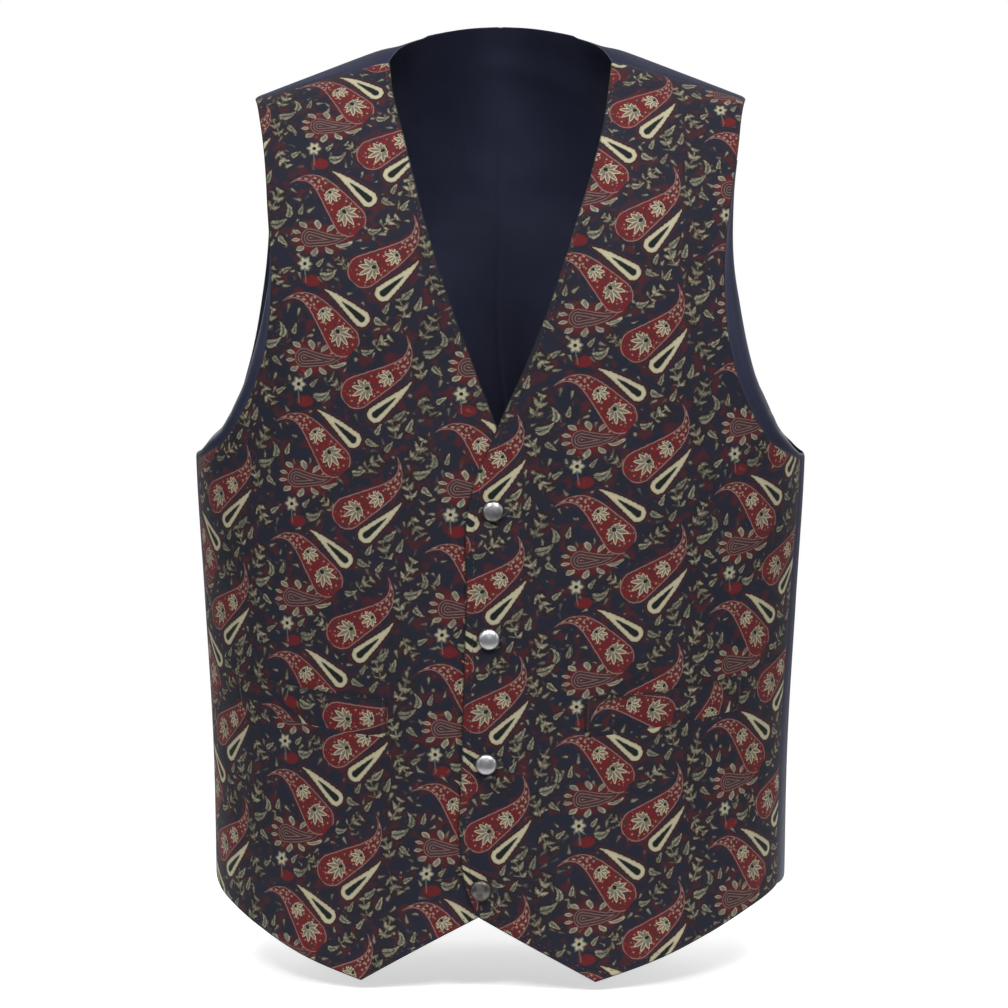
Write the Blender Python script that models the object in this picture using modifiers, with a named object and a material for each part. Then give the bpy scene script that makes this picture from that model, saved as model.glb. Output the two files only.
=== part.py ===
"""A buttoned waistcoat holding the shape of the chest that fills it.

Two fronts, a back, two pocket welts and four shank buttons. Metres, +Z up. The fronts face -Y and +X is the
wearer's left. The origin lies midway between the two mid-shoulder points, where the wearer carries the cloth.

A place on the cloth has a turn, the angle round the body from the centre front in degrees, and a rise, the
height measured along the cloth, so that it goes on growing where the cloth rolls over the shoulder.
"""

import bmesh
import bpy
import numpy as np
from mathutils import Matrix, Vector


def table(columns, rows):
    """A short table as a dictionary of named columns."""
    return dict(zip(columns.split(), np.array(rows, float).T))


# Cloth walls and the gaps between sewn pieces
FRONT_THICKNESS = 0.0020
BACK_THICKNESS = 0.0012
WELT_THICKNESS = 0.0015
SEAM_GAP = 0.0003
SHOULDER_SEAM_GAP = 0.0006
SIDE_SEAM_GAP = 0.0006
OVERLAP_GAP = 0.0004

# The chest: sections from the top down, and how squarely they turn at the sides
SECTION_POWER = 2.25
BODY = table(
    "height half_width front_depth back_depth",
    [
        (-0.640, 0.1945, 0.120, 0.114),
        (-0.542, 0.1945, 0.123, 0.112),
        (-0.456, 0.1960, 0.122, 0.104),
        (-0.360, 0.2010, 0.122, 0.106),
        (-0.262, 0.2064, 0.120, 0.114),
        (-0.150, 0.2064, 0.118, 0.118),
        (0.080, 0.2064, 0.118, 0.116),
    ],
)

# The shoulder ridge, and the height over which the cloth rolls from the ridge to the upright
SHOULDER_MIDDLE = 0.115
SHOULDER_SLOPE = 0.385
SHOULDER_TIP = 0.165
RIDGE_SOFTNESS = 0.020
NECK_RISE = 0.0375
NECK_REACH = 0.075
FRONT_ROLL = 0.200
BACK_ROLL = 0.160

# The cut, in degrees from the centre front, the same on both sides
SIDE_SEAM = 80.0
UNDERARM = -0.262
NECK_END = 21.2
SEAM_DROP_AT_NECK = 0.0090
SEAM_DROP_AT_TIP = 0.0010
FRONT_EDGE = table(
    "height turn",
    [
        (-0.557, 0.0),
        (-0.546, -1.8),
        (-0.535, -3.2),
        (-0.517, -4.3),
        (-0.440, -4.6),
        (-0.350, -4.4),
        (-0.275, -4.1),
        (-0.262, -3.1),
        (-0.250, -1.7),
        (-0.233, 0.0),
        (-0.201, 3.7),
        (-0.131, 11.0),
        (-0.062, 16.9),
        (-0.020, 19.9),
        (0.008, NECK_END),
    ],
)
FRONT_UNDERARM = table(
    "turn height",
    [(56.8, -0.2330), (62.0, -0.2455), (70.0, -0.2550), (SIDE_SEAM, UNDERARM)],
)
FRONT_ARMHOLE = table(
    "height turn",
    [
        (-0.233, 56.8),
        (-0.215, 52.5),
        (-0.193, 49.2),
        (-0.145, 46.7),
        (-0.086, 48.3),
        (-0.053, 50.0),
        (-0.021, 53.0),
    ],
)
BACK_UNDERARM = table(
    "turn height",
    [(60.0, -0.2200), (66.5, -0.2435), (75.0, -0.2545), (88.0, -0.2600), (180.0 - SIDE_SEAM, UNDERARM)],
)
BACK_ARMHOLE = table(
    "height turn",
    [
        (-0.2200, 60.0),
        (-0.1980, 56.4),
        (-0.1520, 52.4),
        (-0.0900, 50.6),
        (-0.0400, 51.8),
        (-0.0193, 53.07),
    ],
)
POINT_TURN = 23.7
FRONT_HEM = table(
    "turn height",
    [
        (POINT_TURN, -0.6015),
        (38.5, -0.5870),
        (50.5, -0.5735),
        (62.5, -0.5615),
        (SIDE_SEAM, -0.5500),
    ],
)
CENTRE_NOTCH = -0.557
BACK_HEM = -0.550
NECK_CORNER = 14.0
BACK_NECK = table(
    "turn height",
    [(0.0, 0.0270), (6.0, 0.0261), (12.0, 0.0233), (18.2, 0.0205)],
)

# How far the worn cloth has slewed round the body, at the centre front, the side seams and the back
SLEW = table(
    "height centre side back",
    [
        (-0.640, -4.8, -5.0, -5.0),
        (-0.597, -4.7, -4.9, -4.9),
        (-0.500, -3.1, -4.9, -4.9),
        (-0.412, -2.4, -4.6, -4.6),
        (-0.330, -1.8, -3.2, -3.2),
        (-0.262, -1.0, -1.6, -1.6),
        (-0.200, -0.2, -1.1, 0.3),
        (-0.110, 0.3, -1.4, 0.3),
        (-0.020, 0.4, 0.0, 0.0),
        (0.020, 0.0, 0.0, 0.0),
        (0.050, 0.0, 0.0, 0.0),
        (0.200, 0.0, 0.0, 0.0),
    ],
)
SLEW_BACK_REACHED = 125.0

# Where the fronts cross, the left one lies on the right one
OVERLAP_FLAT = 8.0
OVERLAP_END = 24.0
OVERLAP_FULL_BELOW = -0.205
OVERLAP_NONE_ABOVE = -0.090
OVERLAP_LIFT = (FRONT_THICKNESS + OVERLAP_GAP) / 2

# Pocket welts, on the cut
WELT = table(
    "turn top bottom",
    [(19.3, -0.4130, -0.4395), (57.5, -0.4005, -0.4255)],
)

# Buttons, and the holes that they go through
BUTTON_HEIGHTS = (-0.2872, -0.3714, -0.4543, -0.5382)
BUTTON_RADIUS = 0.0075
BUTTON_DOME = 0.0036
BUTTON_RIM = 0.0012
BUTTON_LIFT = 0.0005
SHANK_RADIUS = 0.0012
BUTTONHOLE = {"outer": -0.0080, "inner": 0.0095, "width": 0.0032, "depth": 0.0080}

# Grid divisions
FRONT_COLUMNS = (5, 7, 4)
FRONT_ROWS = (14, 14)
BACK_COLUMNS = (3, 8, 6)
BACK_ROWS = (14, 12, 6)
WELT_COLUMNS = 12
BUTTON_STEPS = 20
PROBE_TURN = 0.05
PROBE_RISE = 0.0002

COLOURS = {
    "paisley": ((0.030, 0.032, 0.050), 0.75, 0.0),
    "navy_satin": ((0.018, 0.020, 0.038), 0.45, 0.0),
    "brushed_silver": ((0.52, 0.52, 0.54), 0.35, 1.0),
}


def smooth_step(low, high, at):
    """0 at low, 1 at high and smooth between."""
    share = np.clip((at - low) / (high - low), 0, 1)
    return share * share * (3 - 2 * share)


def curve(rows, by, column, at):
    """The smooth curve through one column of a table, read against another."""
    knots, values = rows[by], rows[column]
    slopes = np.gradient(values, knots)
    at = np.clip(at, knots[0], knots[-1])
    i = np.clip(np.searchsorted(knots, at) - 1, 0, len(knots) - 2)
    step = knots[i + 1] - knots[i]
    t = (at - knots[i]) / step
    start = values[i] * (1 + 2 * t) + slopes[i] * step * t
    end = values[i + 1] * (3 - 2 * t) - slopes[i + 1] * step * (1 - t)
    return start * (1 - t) ** 2 + end * t**2


def ridge_height(x):
    """Height of the shoulder ridge, which climbs towards the neck."""
    near_neck = np.clip(1 - (x / NECK_REACH) ** 2, 0, 1)
    slope = SHOULDER_SLOPE * (SHOULDER_MIDDLE - np.hypot(x, RIDGE_SOFTNESS))
    return slope + NECK_RISE * near_neck**3


def body_point(turn, rise):
    """Points of the chest at these turns and rises, as an array of x, y, z."""
    angle = np.radians(turn)
    x = curve(BODY, "height", "half_width", rise) * np.sin(angle)
    ridge = ridge_height(x)
    on_front = np.cos(angle) >= 0
    roll = np.where(on_front, FRONT_ROLL, BACK_ROLL)
    lean = np.minimum(np.pi / 2 - (rise - ridge + roll) / roll, np.pi / 2)
    past_ridge = lean < 0
    lean = np.where(past_ridge, -lean * roll / FRONT_ROLL, lean)
    roll = np.where(past_ridge, FRONT_ROLL, roll)
    on_front = on_front | past_ridge
    z = np.minimum(rise, ridge - roll * (1 - np.cos(lean)))
    depth = np.where(
        on_front,
        -curve(BODY, "height", "front_depth", z),
        curve(BODY, "height", "back_depth", z),
    )
    section = (1 - np.abs(np.sin(angle)) ** SECTION_POWER) ** (1 / SECTION_POWER)
    return np.stack([x, depth * section * np.sin(lean), z], axis=-1)


def worn_point(turn, rise):
    """Points of the cloth as worn, from its place on the cut."""
    from_centre = np.abs((turn + 180) % 360 - 180)
    to_side = np.clip(from_centre / SIDE_SEAM, 0, 1)
    to_back = np.clip((from_centre - SIDE_SEAM) / (SLEW_BACK_REACHED - SIDE_SEAM), 0, 1)
    centre, side, back = (curve(SLEW, "height", name, rise) for name in ("centre", "side", "back"))
    slew = centre + (side - centre) * to_side + (back - side) * to_back
    return body_point(turn + slew, rise)


def outward(turn, rise):
    """The cloth's outward normals."""
    across = worn_point(turn + PROBE_TURN, rise) - worn_point(turn - PROBE_TURN, rise)
    up = worn_point(turn, rise + PROBE_RISE) - worn_point(turn, rise - PROBE_RISE)
    normal = np.cross(across, up)
    return normal / np.linalg.norm(normal, axis=-1, keepdims=True)


def overlap_lift(turn, rise, side):
    """How far a front lies off the chest where the two fronts cross, on each front's own side."""
    near_centre = 1 - smooth_step(OVERLAP_FLAT, OVERLAP_END, turn * side)
    low = 1 - smooth_step(OVERLAP_FULL_BELOW, OVERLAP_NONE_ABOVE, rise)
    return side * OVERLAP_LIFT * near_centre * low


def front_point(turn, rise, side, lift=0.0):
    """Points of a front's outer face, moved out by lift. side is 1 on the wearer's left, -1 on the right."""
    off = overlap_lift(turn, rise, side) + lift
    return worn_point(turn, rise) + outward(turn, rise) * off[..., None]


def rise_of(height, turn, roll):
    """The rise of a place on the cloth whose height is known, on a sheet with that roll."""
    half_width = curve(BODY, "height", "half_width", height)
    ridge = ridge_height(half_width * np.sin(np.radians(turn)))
    drop = np.clip((ridge - height) / roll, 0, 1)
    lean = np.arccos(1 - drop)
    return np.where(drop < 1, ridge - roll + roll * (np.pi / 2 - lean), height)


def by_rise(rows, roll):
    """An edge's table with the rise of each row in place of its height."""
    return {"rise": rise_of(rows["height"], rows["turn"], roll), "turn": rows["turn"]}


def ridge_rise(turn, roll):
    """The rise of the shoulder ridge, measured up a sheet with that roll."""
    x = curve(BODY, "height", "half_width", 0.0) * np.sin(np.radians(turn))
    return ridge_height(x) - roll + roll * np.pi / 2


def shoulder_seam_rise(turn, roll):
    """The rise of the shoulder seam, just in front of the ridge, measured up the front or up the back."""
    half_width = curve(BODY, "height", "half_width", 0.0)
    x = half_width * np.sin(np.radians(turn))
    to_tip = (x / half_width - np.sin(np.radians(NECK_END))) / (
        SHOULDER_TIP / half_width - np.sin(np.radians(NECK_END))
    )
    drop = SEAM_DROP_AT_NECK + (SEAM_DROP_AT_TIP - SEAM_DROP_AT_NECK) * np.clip(to_tip, 0, 1)
    from_ridge = FRONT_ROLL * np.arccos(1 - drop / FRONT_ROLL)
    return ridge_rise(turn, roll) + np.where(roll == FRONT_ROLL, -from_ridge, from_ridge) - SHOULDER_SEAM_GAP


def front_hem(turn):
    """Height of a front's hem: straight from the centre notch to the point, then curving up to the side."""
    to_point = CENTRE_NOTCH + (FRONT_HEM["height"][0] - CENTRE_NOTCH) * turn / POINT_TURN
    return np.where(turn < POINT_TURN, to_point, curve(FRONT_HEM, "turn", "height", turn))


def shoulder_tip():
    """Turn of the shoulder tip."""
    return np.degrees(np.arcsin(SHOULDER_TIP / curve(BODY, "height", "half_width", 0.0)))


def front_cut(columns, rows):
    """Turn and rise of a front's grid.

    Columns go from 0 at the centre edge to 1 at the side seam. Rows go from 0 at the hem to 1 at the foot of
    the armhole and 2 at the shoulder seam. Above row 1, the columns beyond the armhole are not numbers.
    """
    across, up = np.meshgrid(columns, rows, indexing="ij")
    corner = FRONT_ARMHOLE["turn"][0] / SIDE_SEAM
    strap = across / corner
    low = front_hem(across * SIDE_SEAM)
    foot = curve(FRONT_UNDERARM, "turn", "height", across * SIDE_SEAM)
    high = shoulder_seam_rise(NECK_END + (shoulder_tip() - NECK_END) * strap, FRONT_ROLL)
    rise = np.where(up <= 1, low + (foot - low) * up, foot + (high - foot) * (up - 1))
    side = SIDE_SEAM - np.degrees(SIDE_SEAM_GAP / 2 / BODY["front_depth"].mean())
    inner = curve(by_rise(FRONT_EDGE, FRONT_ROLL), "rise", "turn", rise)
    armhole = curve(by_rise(FRONT_ARMHOLE, FRONT_ROLL), "rise", "turn", rise)
    turn = np.where(up <= 1, inner + (side - inner) * across, inner + (armhole - inner) * strap)
    absent = (up > 1) & (strap > 1 + 1e-9)
    return np.where(absent, np.nan, turn), np.where(absent, np.nan, rise)


def back_cut(columns, rows):
    """Turn and rise of the back's grid.

    Columns go from -1 at the left side seam to 1 at the right one. Rows go from 0 at the hem to 1 at the foot
    of the armhole, 2 at the neckline and 3 at the shoulder seams, where only the straps' columns remain.
    """
    across, up = np.meshgrid(columns, rows, indexing="ij")
    share, tip, side = np.abs(across), shoulder_tip(), 180.0 - SIDE_SEAM
    corner = BACK_ARMHOLE["turn"][0] / side
    strap = share / corner
    neck_corner = NECK_CORNER / tip
    along_strap = (strap - neck_corner) / (1 - neck_corner)
    foot = curve(BACK_UNDERARM, "turn", "height", share * side)
    neckline = rise_of(curve(BACK_NECK, "turn", "height", strap * tip), strap * tip, BACK_ROLL)
    corner_height = curve(BACK_NECK, "turn", "height", NECK_CORNER)
    below_ridge = ridge_rise(NECK_CORNER, BACK_ROLL) - rise_of(corner_height, NECK_CORNER, BACK_ROLL)
    strap_foot = ridge_rise(np.minimum(strap, 1) * tip, BACK_ROLL) - below_ridge
    middle = np.where(along_strap <= 0, neckline, strap_foot)
    high = shoulder_seam_rise(NECK_END + (tip - NECK_END) * along_strap, BACK_ROLL)
    rise = BACK_HEM + (foot - BACK_HEM) * up
    rise = np.where(up > 1, foot + (middle - foot) * (up - 1), rise)
    rise = np.where(up > 2, middle + (high - middle) * (up - 2), rise)
    armhole = curve(by_rise(BACK_ARMHOLE, BACK_ROLL), "rise", "turn", rise)
    neck_side = NECK_CORNER + (NECK_END - NECK_CORNER) * (up - 2)
    turn = share * (side - np.degrees(SIDE_SEAM_GAP / 2 / BODY["back_depth"].mean()))
    turn = np.where(up > 1, armhole * strap, turn)
    turn = np.where(up > 2, neck_side + (armhole - neck_side) * along_strap, turn)
    absent = ((up > 1) & (strap > 1 + 1e-9)) | ((up > 2) & (along_strap < -1e-9))
    return np.where(absent, np.nan, 180.0 + np.sign(across) * turn), np.where(absent, np.nan, rise)


def spans(*rows):
    """Grid positions from rows of start, end and divisions."""
    parts = [np.linspace(start, end, count + 1) for start, end, count in rows]
    return np.concatenate([parts[0], *[part[1:] for part in parts[1:]]])


def grid_mesh(name, points):
    """A mesh grid on an array of points, column by column, without those that are not numbers."""
    columns, rows = points.shape[:2]
    shape = bmesh.new()
    bmesh.ops.create_grid(shape, x_segments=columns - 1, y_segments=rows - 1, size=0.5)
    absent = []
    for vertex in shape.verts:
        column = round((vertex.co.x + 0.5) * (columns - 1))
        row = round((vertex.co.y + 0.5) * (rows - 1))
        vertex.co = Vector(np.nan_to_num(points[column, row]))
        if np.isnan(points[column, row, 0]):
            absent.append(vertex)
    bmesh.ops.delete(shape, geom=absent, context="VERTS")
    mesh = bpy.data.meshes.new(name)
    shape.to_mesh(mesh)
    shape.free()
    mesh.shade_smooth()
    return mesh


def cloth_piece(name, points, thickness, side_of_cloth, material):
    """A cloth wall on a grid of points, thickened inwards (-1) or outwards (1)."""
    piece = bpy.data.objects.new(name, grid_mesh(name, points))
    piece.data.materials.append(material)
    GARMENT.objects.link(piece)
    wall = piece.modifiers.new("Wall", "SOLIDIFY")
    wall.thickness = thickness
    wall.offset = side_of_cloth
    wall.use_even_offset = True
    return piece


def make_front(name, side, material):
    """One front, from its centre edge to the side seam."""
    point = POINT_TURN / SIDE_SEAM
    corner = FRONT_ARMHOLE["turn"][0] / SIDE_SEAM
    to_point, to_corner, to_side = FRONT_COLUMNS
    columns = spans((0, point, to_point), (point, corner, to_corner), (corner, 1, to_side))
    rows = spans((0, 1, FRONT_ROWS[0]), (1, 2, FRONT_ROWS[1]))
    turn, rise = front_cut(columns, rows)
    points = front_point(turn * side, rise, side)
    return cloth_piece(name, points if side > 0 else points[::-1], FRONT_THICKNESS, -1, material)


def make_back(material):
    """The back, from one side seam round to the other and over both shoulders."""
    corner = BACK_ARMHOLE["turn"][0] / (180.0 - SIDE_SEAM)
    neck_corner = corner * NECK_CORNER / shoulder_tip()
    to_neck, to_corner, to_side = BACK_COLUMNS
    half = spans((0, neck_corner, to_neck), (neck_corner, corner, to_corner), (corner, 1, to_side))
    columns = np.concatenate([-half[:0:-1], half])
    rows = spans((0, 1, BACK_ROWS[0]), (1, 2, BACK_ROWS[1]), (2, 3, BACK_ROWS[2]))
    turn, rise = back_cut(columns, rows)
    return cloth_piece("back", worn_point(turn, rise), BACK_THICKNESS, -1, material)


def make_welt(name, side, material):
    """A pocket welt lying on a front."""
    along = np.linspace(0, 1, WELT_COLUMNS + 1)
    turn, top, bottom = ((rows[0] + (rows[1] - rows[0]) * along)[:, None] for rows in WELT.values())
    rise = bottom + (top - bottom) * np.linspace(0, 1, 3)
    turn = turn + np.zeros_like(rise)
    points = front_point(turn * side, rise, side, np.full_like(rise, SEAM_GAP))
    return cloth_piece(name, points if side > 0 else points[::-1], WELT_THICKNESS, 1, material)


def button_seat(height):
    """The frame of a button on the left front, with Z out of the cloth and X towards the left side."""
    turn, rise = np.array([0.0]), np.array([height])
    seat = Vector(front_point(turn, rise, 1)[0])
    out = Vector(outward(turn, rise)[0])
    across = Vector((0, 0, 1)).cross(out).normalized()
    frame = Matrix((across, out.cross(across), out)).transposed().to_4x4()
    frame.translation = seat
    return frame


def make_button(name, frame, material):
    """A domed shank button, turned about its axis, with its shank reaching through the buttonhole."""
    radius, dome_steps = BUTTON_RADIUS, 6
    rim_top = BUTTON_LIFT + BUTTON_RIM
    quarter = np.linspace(0, np.pi / 2, dome_steps + 1)
    profile = [(radius * np.sin(a), rim_top + BUTTON_DOME * np.cos(a)) for a in quarter]
    profile += [(radius * 0.93, BUTTON_LIFT), (SHANK_RADIUS, BUTTON_LIFT)]
    shank_end = SEAM_GAP - FRONT_THICKNESS - OVERLAP_GAP
    profile += [(SHANK_RADIUS, shank_end), (0.0, shank_end)]
    shape = bmesh.new()
    corners = [shape.verts.new((x, 0, z)) for x, z in profile]
    for first, second in zip(corners, corners[1:]):
        shape.edges.new((first, second))
    mesh = bpy.data.meshes.new(name)
    shape.to_mesh(mesh)
    shape.free()
    mesh.materials.append(material)
    button = bpy.data.objects.new(name, mesh)
    GARMENT.objects.link(button)
    button.matrix_world = frame
    turned = button.modifiers.new("Turned", "SCREW")
    turned.steps = turned.render_steps = BUTTON_STEPS
    turned.use_merge_vertices = True
    turned.merge_threshold = 1e-5
    turned.use_smooth_shade = True
    return button


def cut_buttonhole(front, name, frame):
    """A slot through the left front at one button."""
    size = BUTTONHOLE
    shape = bmesh.new()
    bmesh.ops.create_cube(shape, size=1.0)
    length = size["inner"] - size["outer"]
    bmesh.ops.scale(shape, vec=(length, size["width"], size["depth"]), verts=shape.verts)
    bmesh.ops.translate(shape, vec=((size["inner"] + size["outer"]) / 2, 0, 0), verts=shape.verts)
    mesh = bpy.data.meshes.new(name)
    shape.to_mesh(mesh)
    shape.free()
    cutter = bpy.data.objects.new(name, mesh)
    CUTTERS.objects.link(cutter)
    cutter.matrix_world = frame
    cutter.hide_render = True
    cutter.display_type = "WIRE"
    slot = front.modifiers.new(name, "BOOLEAN")
    slot.operation = "DIFFERENCE"
    slot.object = cutter


def material_of(name):
    """A plain material from the colour table."""
    colour, roughness, metallic = COLOURS[name]
    material = bpy.data.materials.new(name)
    material.use_nodes = True
    shader = material.node_tree.nodes["Principled BSDF"]
    shader.inputs["Base Color"].default_value = (*colour, 1)
    shader.inputs["Roughness"].default_value = roughness
    shader.inputs["Metallic"].default_value = metallic
    return material


def new_collection(name):
    """An empty collection in the scene."""
    collection = bpy.data.collections.new(name)
    bpy.context.scene.collection.children.link(collection)
    return collection


for leftover in list(bpy.data.objects):
    bpy.data.objects.remove(leftover)
GARMENT = new_collection("waistcoat")
CUTTERS = new_collection("cutters")

paisley, satin, silver = (material_of(name) for name in COLOURS)
left_front = make_front("front_left", 1, paisley)
make_front("front_right", -1, paisley)
make_back(satin)
make_welt("welt_left", 1, paisley)
make_welt("welt_right", -1, paisley)
for number, height in enumerate(BUTTON_HEIGHTS, 1):
    seat_frame = button_seat(height)
    make_button(f"button_{number}", seat_frame, silver)
    cut_buttonhole(left_front, f"buttonhole_{number}", seat_frame)
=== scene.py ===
"""The looks of a buttoned paisley waistcoat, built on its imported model.

Metres, +Z up. The fronts face -Y and +X is the wearer's left. A place on the cloth has a turn, the angle
round the body from the centre front in degrees, and a rise, the height measured along the cloth.
"""

import bmesh
import bpy
import numpy as np
from bpy.props import FloatProperty, FloatVectorProperty, PointerProperty
from mathutils import Matrix, Vector
from mathutils.kdtree import KDTree


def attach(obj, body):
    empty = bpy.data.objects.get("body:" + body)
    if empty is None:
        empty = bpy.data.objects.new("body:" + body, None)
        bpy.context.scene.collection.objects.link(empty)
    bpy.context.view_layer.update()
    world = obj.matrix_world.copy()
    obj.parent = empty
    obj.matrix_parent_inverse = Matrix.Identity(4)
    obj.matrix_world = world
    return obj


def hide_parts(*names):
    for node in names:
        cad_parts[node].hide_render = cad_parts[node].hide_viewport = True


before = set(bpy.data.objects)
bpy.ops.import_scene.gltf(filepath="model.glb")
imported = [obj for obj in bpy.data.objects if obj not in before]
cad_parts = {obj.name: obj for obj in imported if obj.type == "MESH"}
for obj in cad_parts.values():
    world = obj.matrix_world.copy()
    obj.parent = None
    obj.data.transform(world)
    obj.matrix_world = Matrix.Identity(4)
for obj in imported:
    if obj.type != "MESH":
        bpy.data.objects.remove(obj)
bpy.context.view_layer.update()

bl_info = {
    "name": "Paisley Waistcoat",
    "version": (1, 0, 0),
    "blender": (4, 5, 0),
    "location": "3D View > Sidebar > Waistcoat",
    "description": "Builds a buttoned waistcoat with printed fronts, a satin back and metal buttons",
    "category": "Object",
}

MILLIMETRES = 1000.0


def table(columns, rows):
    """A short table as a dictionary of named columns."""
    return dict(zip(columns.split(), np.array(rows, float).T))


# The camera that the photograph was taken from
CAMERA_DISTANCE = 3.2
CAMERA_ELEVATION = 6.0
CAMERA_LENS = 168.08
CAMERA_TARGET = (0.0024, 0.0, -0.2953)

# Gaps between cloths, and how far each front lies off the chest where the two cross
SEAM_GAP = 0.0003
OVERLAP_LIFT = 0.0012
MEETING_GAP = 0.0001

# The chest: sections from the hem up, and how squarely they turn at the sides
SECTION_POWER = 2.25
BODY = table(
    "height half_width front_depth back_depth",
    [
        (-0.640, 0.1945, 0.120, 0.114),
        (-0.542, 0.1945, 0.123, 0.112),
        (-0.456, 0.1960, 0.122, 0.104),
        (-0.360, 0.2010, 0.122, 0.106),
        (-0.262, 0.2064, 0.120, 0.114),
        (-0.150, 0.2064, 0.118, 0.118),
        (0.080, 0.2064, 0.118, 0.116),
    ],
)

# The shoulder ridge, and the height over which the cloth rolls from the ridge to the upright
SHOULDER_MIDDLE = 0.115
SHOULDER_SLOPE = 0.385
SHOULDER_TIP = 0.165
RIDGE_SOFTNESS = 0.020
NECK_RISE = 0.0375
NECK_REACH = 0.075
NECK_DIP = {"at": 0.064, "width": 0.0115, "depth": 0.0028}
FRONT_ROLL = 0.200
BACK_ROLL = 0.160

# The cut, in degrees from the centre front, the same on both sides
SIDE_SEAM = 80.0
UNDERARM = -0.262
BAND_END = 0.0046
NECK_END = 21.2
SEAM_DROP_AT_NECK = 0.0090
SEAM_DROP_AT_TIP = 0.0010
FRONT_EDGE = table(
    "height turn",
    [
        (-0.557, 0.0),
        (-0.546, -1.8),
        (-0.535, -3.2),
        (-0.517, -4.3),
        (-0.440, -4.6),
        (-0.350, -4.4),
        (-0.275, -4.1),
        (-0.262, -3.1),
        (-0.250, -1.7),
        (-0.233, 0.0),
        (-0.201, 3.7),
        (-0.131, 11.0),
        (-0.062, 16.9),
        (-0.020, 19.9),
        (0.008, NECK_END),
    ],
)
FRONT_UNDERARM = table(
    "turn height",
    [(56.8, -0.2330), (62.0, -0.2455), (70.0, -0.2550), (SIDE_SEAM, UNDERARM)],
)
FRONT_ARMHOLE = table(
    "height turn",
    [
        (-0.233, 56.8),
        (-0.215, 52.5),
        (-0.193, 49.2),
        (-0.145, 46.7),
        (-0.086, 48.3),
        (-0.053, 50.0),
        (-0.021, 53.0),
    ],
)
BACK_UNDERARM = table(
    "turn height",
    [
        (60.0, -0.2200),
        (66.5, -0.2450),
        (75.0, -0.2562),
        (88.0, -0.2600),
        (180.0 - SIDE_SEAM, UNDERARM + BAND_END),
    ],
)
BACK_ARMHOLE = table(
    "height turn",
    [
        (-0.2200, 60.0),
        (-0.1980, 56.4),
        (-0.1520, 52.4),
        (-0.0900, 50.6),
        (-0.0400, 51.8),
        (-0.0193, 53.07),
    ],
)
POINT_TURN = 23.7
FRONT_HEM = table(
    "turn height",
    [
        (POINT_TURN, -0.6015),
        (38.5, -0.5870),
        (50.5, -0.5735),
        (62.5, -0.5615),
        (SIDE_SEAM, -0.5500),
    ],
)
CENTRE_NOTCH = -0.557
BACK_HEM = -0.550
NECK_CORNER = 14.0
NECK_BOW = 0.6
BACK_NECK = table(
    "turn height",
    [(0.0, 0.0276), (6.0, 0.0264), (12.0, 0.0232), (18.2, 0.0185)],
)

# How far the worn cloth has slewed round the body, at the centre front, the side seams and the back
SLEW = table(
    "height centre side back",
    [
        (-0.640, -4.8, -5.0, -5.0),
        (-0.597, -4.7, -4.9, -4.9),
        (-0.500, -3.1, -4.9, -4.9),
        (-0.412, -2.4, -4.6, -4.6),
        (-0.330, -1.8, -3.2, -3.2),
        (-0.262, -1.0, -1.6, -1.6),
        (-0.200, -0.2, -1.1, 0.3),
        (-0.110, 0.3, -1.4, 0.3),
        (-0.020, 0.4, 0.0, 0.0),
        (0.020, 0.0, 0.0, 0.0),
        (0.050, 0.0, 0.0, 0.0),
        (0.200, 0.0, 0.0, 0.0),
    ],
)
SLEW_BACK_REACHED = 125.0

# How the back goes under the fronts at the side seams, and how many degrees from them creases fade
SEAM_TUCK = {"turn": 1.3, "from": 2.0, "depth": 0.0011, "held": 9.0}

# Where the fronts cross, the left one lies on the right one
OVERLAP_FLAT = 8.0
OVERLAP_END = 24.0
OVERLAP_FULL_BELOW = -0.205
OVERLAP_NONE_ABOVE = -0.090

# Pocket welts, on the cut and when flat. The mouth counts as nearer, so its dark line of painted shade is
# wider.
WELT = table(
    "turn top bottom",
    [(19.3, -0.4130, -0.4395), (57.5, -0.4005, -0.4255)],
)
WELT_LENGTH = 0.116
WELT_WIDTH = 0.026
WELT_MOUTH = 0.45

# Satin bands that edge the fronts' armholes, left and right: their width, and where they begin and are full
BAND = {
    1: {"width": 0.0155, "top": -0.060, "full": -0.190},
    -1: {"width": 0.0105, "top": -0.120, "full": -0.195},
}
BAND_SHAPE = {"start": 0.0006, "crown": 0.0012, "turn_in": 0.0030, "narrows": 0.78, "stretch": 0.020}
BAND_COLUMNS = 14
BAND_ROWS = 150

# Buttons from the top down, how much painted shade darkens each, and the holes that they go through
BUTTON_HEIGHTS = (-0.2872, -0.3714, -0.4543, -0.5382)
BUTTON_PAINTED_SHADE = (0.55, 0.0, 0.20, 1.0)
BUTTON_SHAPE = {"dome_points": 22, "under_points": 6, "shoulder": 0.95, "crown": 0.92, "foot": 0.93}
BUTTON_LIFT = 0.0005
SHANK_RADIUS = 0.0012
SHANK_END = -0.0021
BUTTONHOLE = {"outer": -0.0080, "inner": 0.0095, "half_width": 0.0009, "lift": 0.0001}

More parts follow.
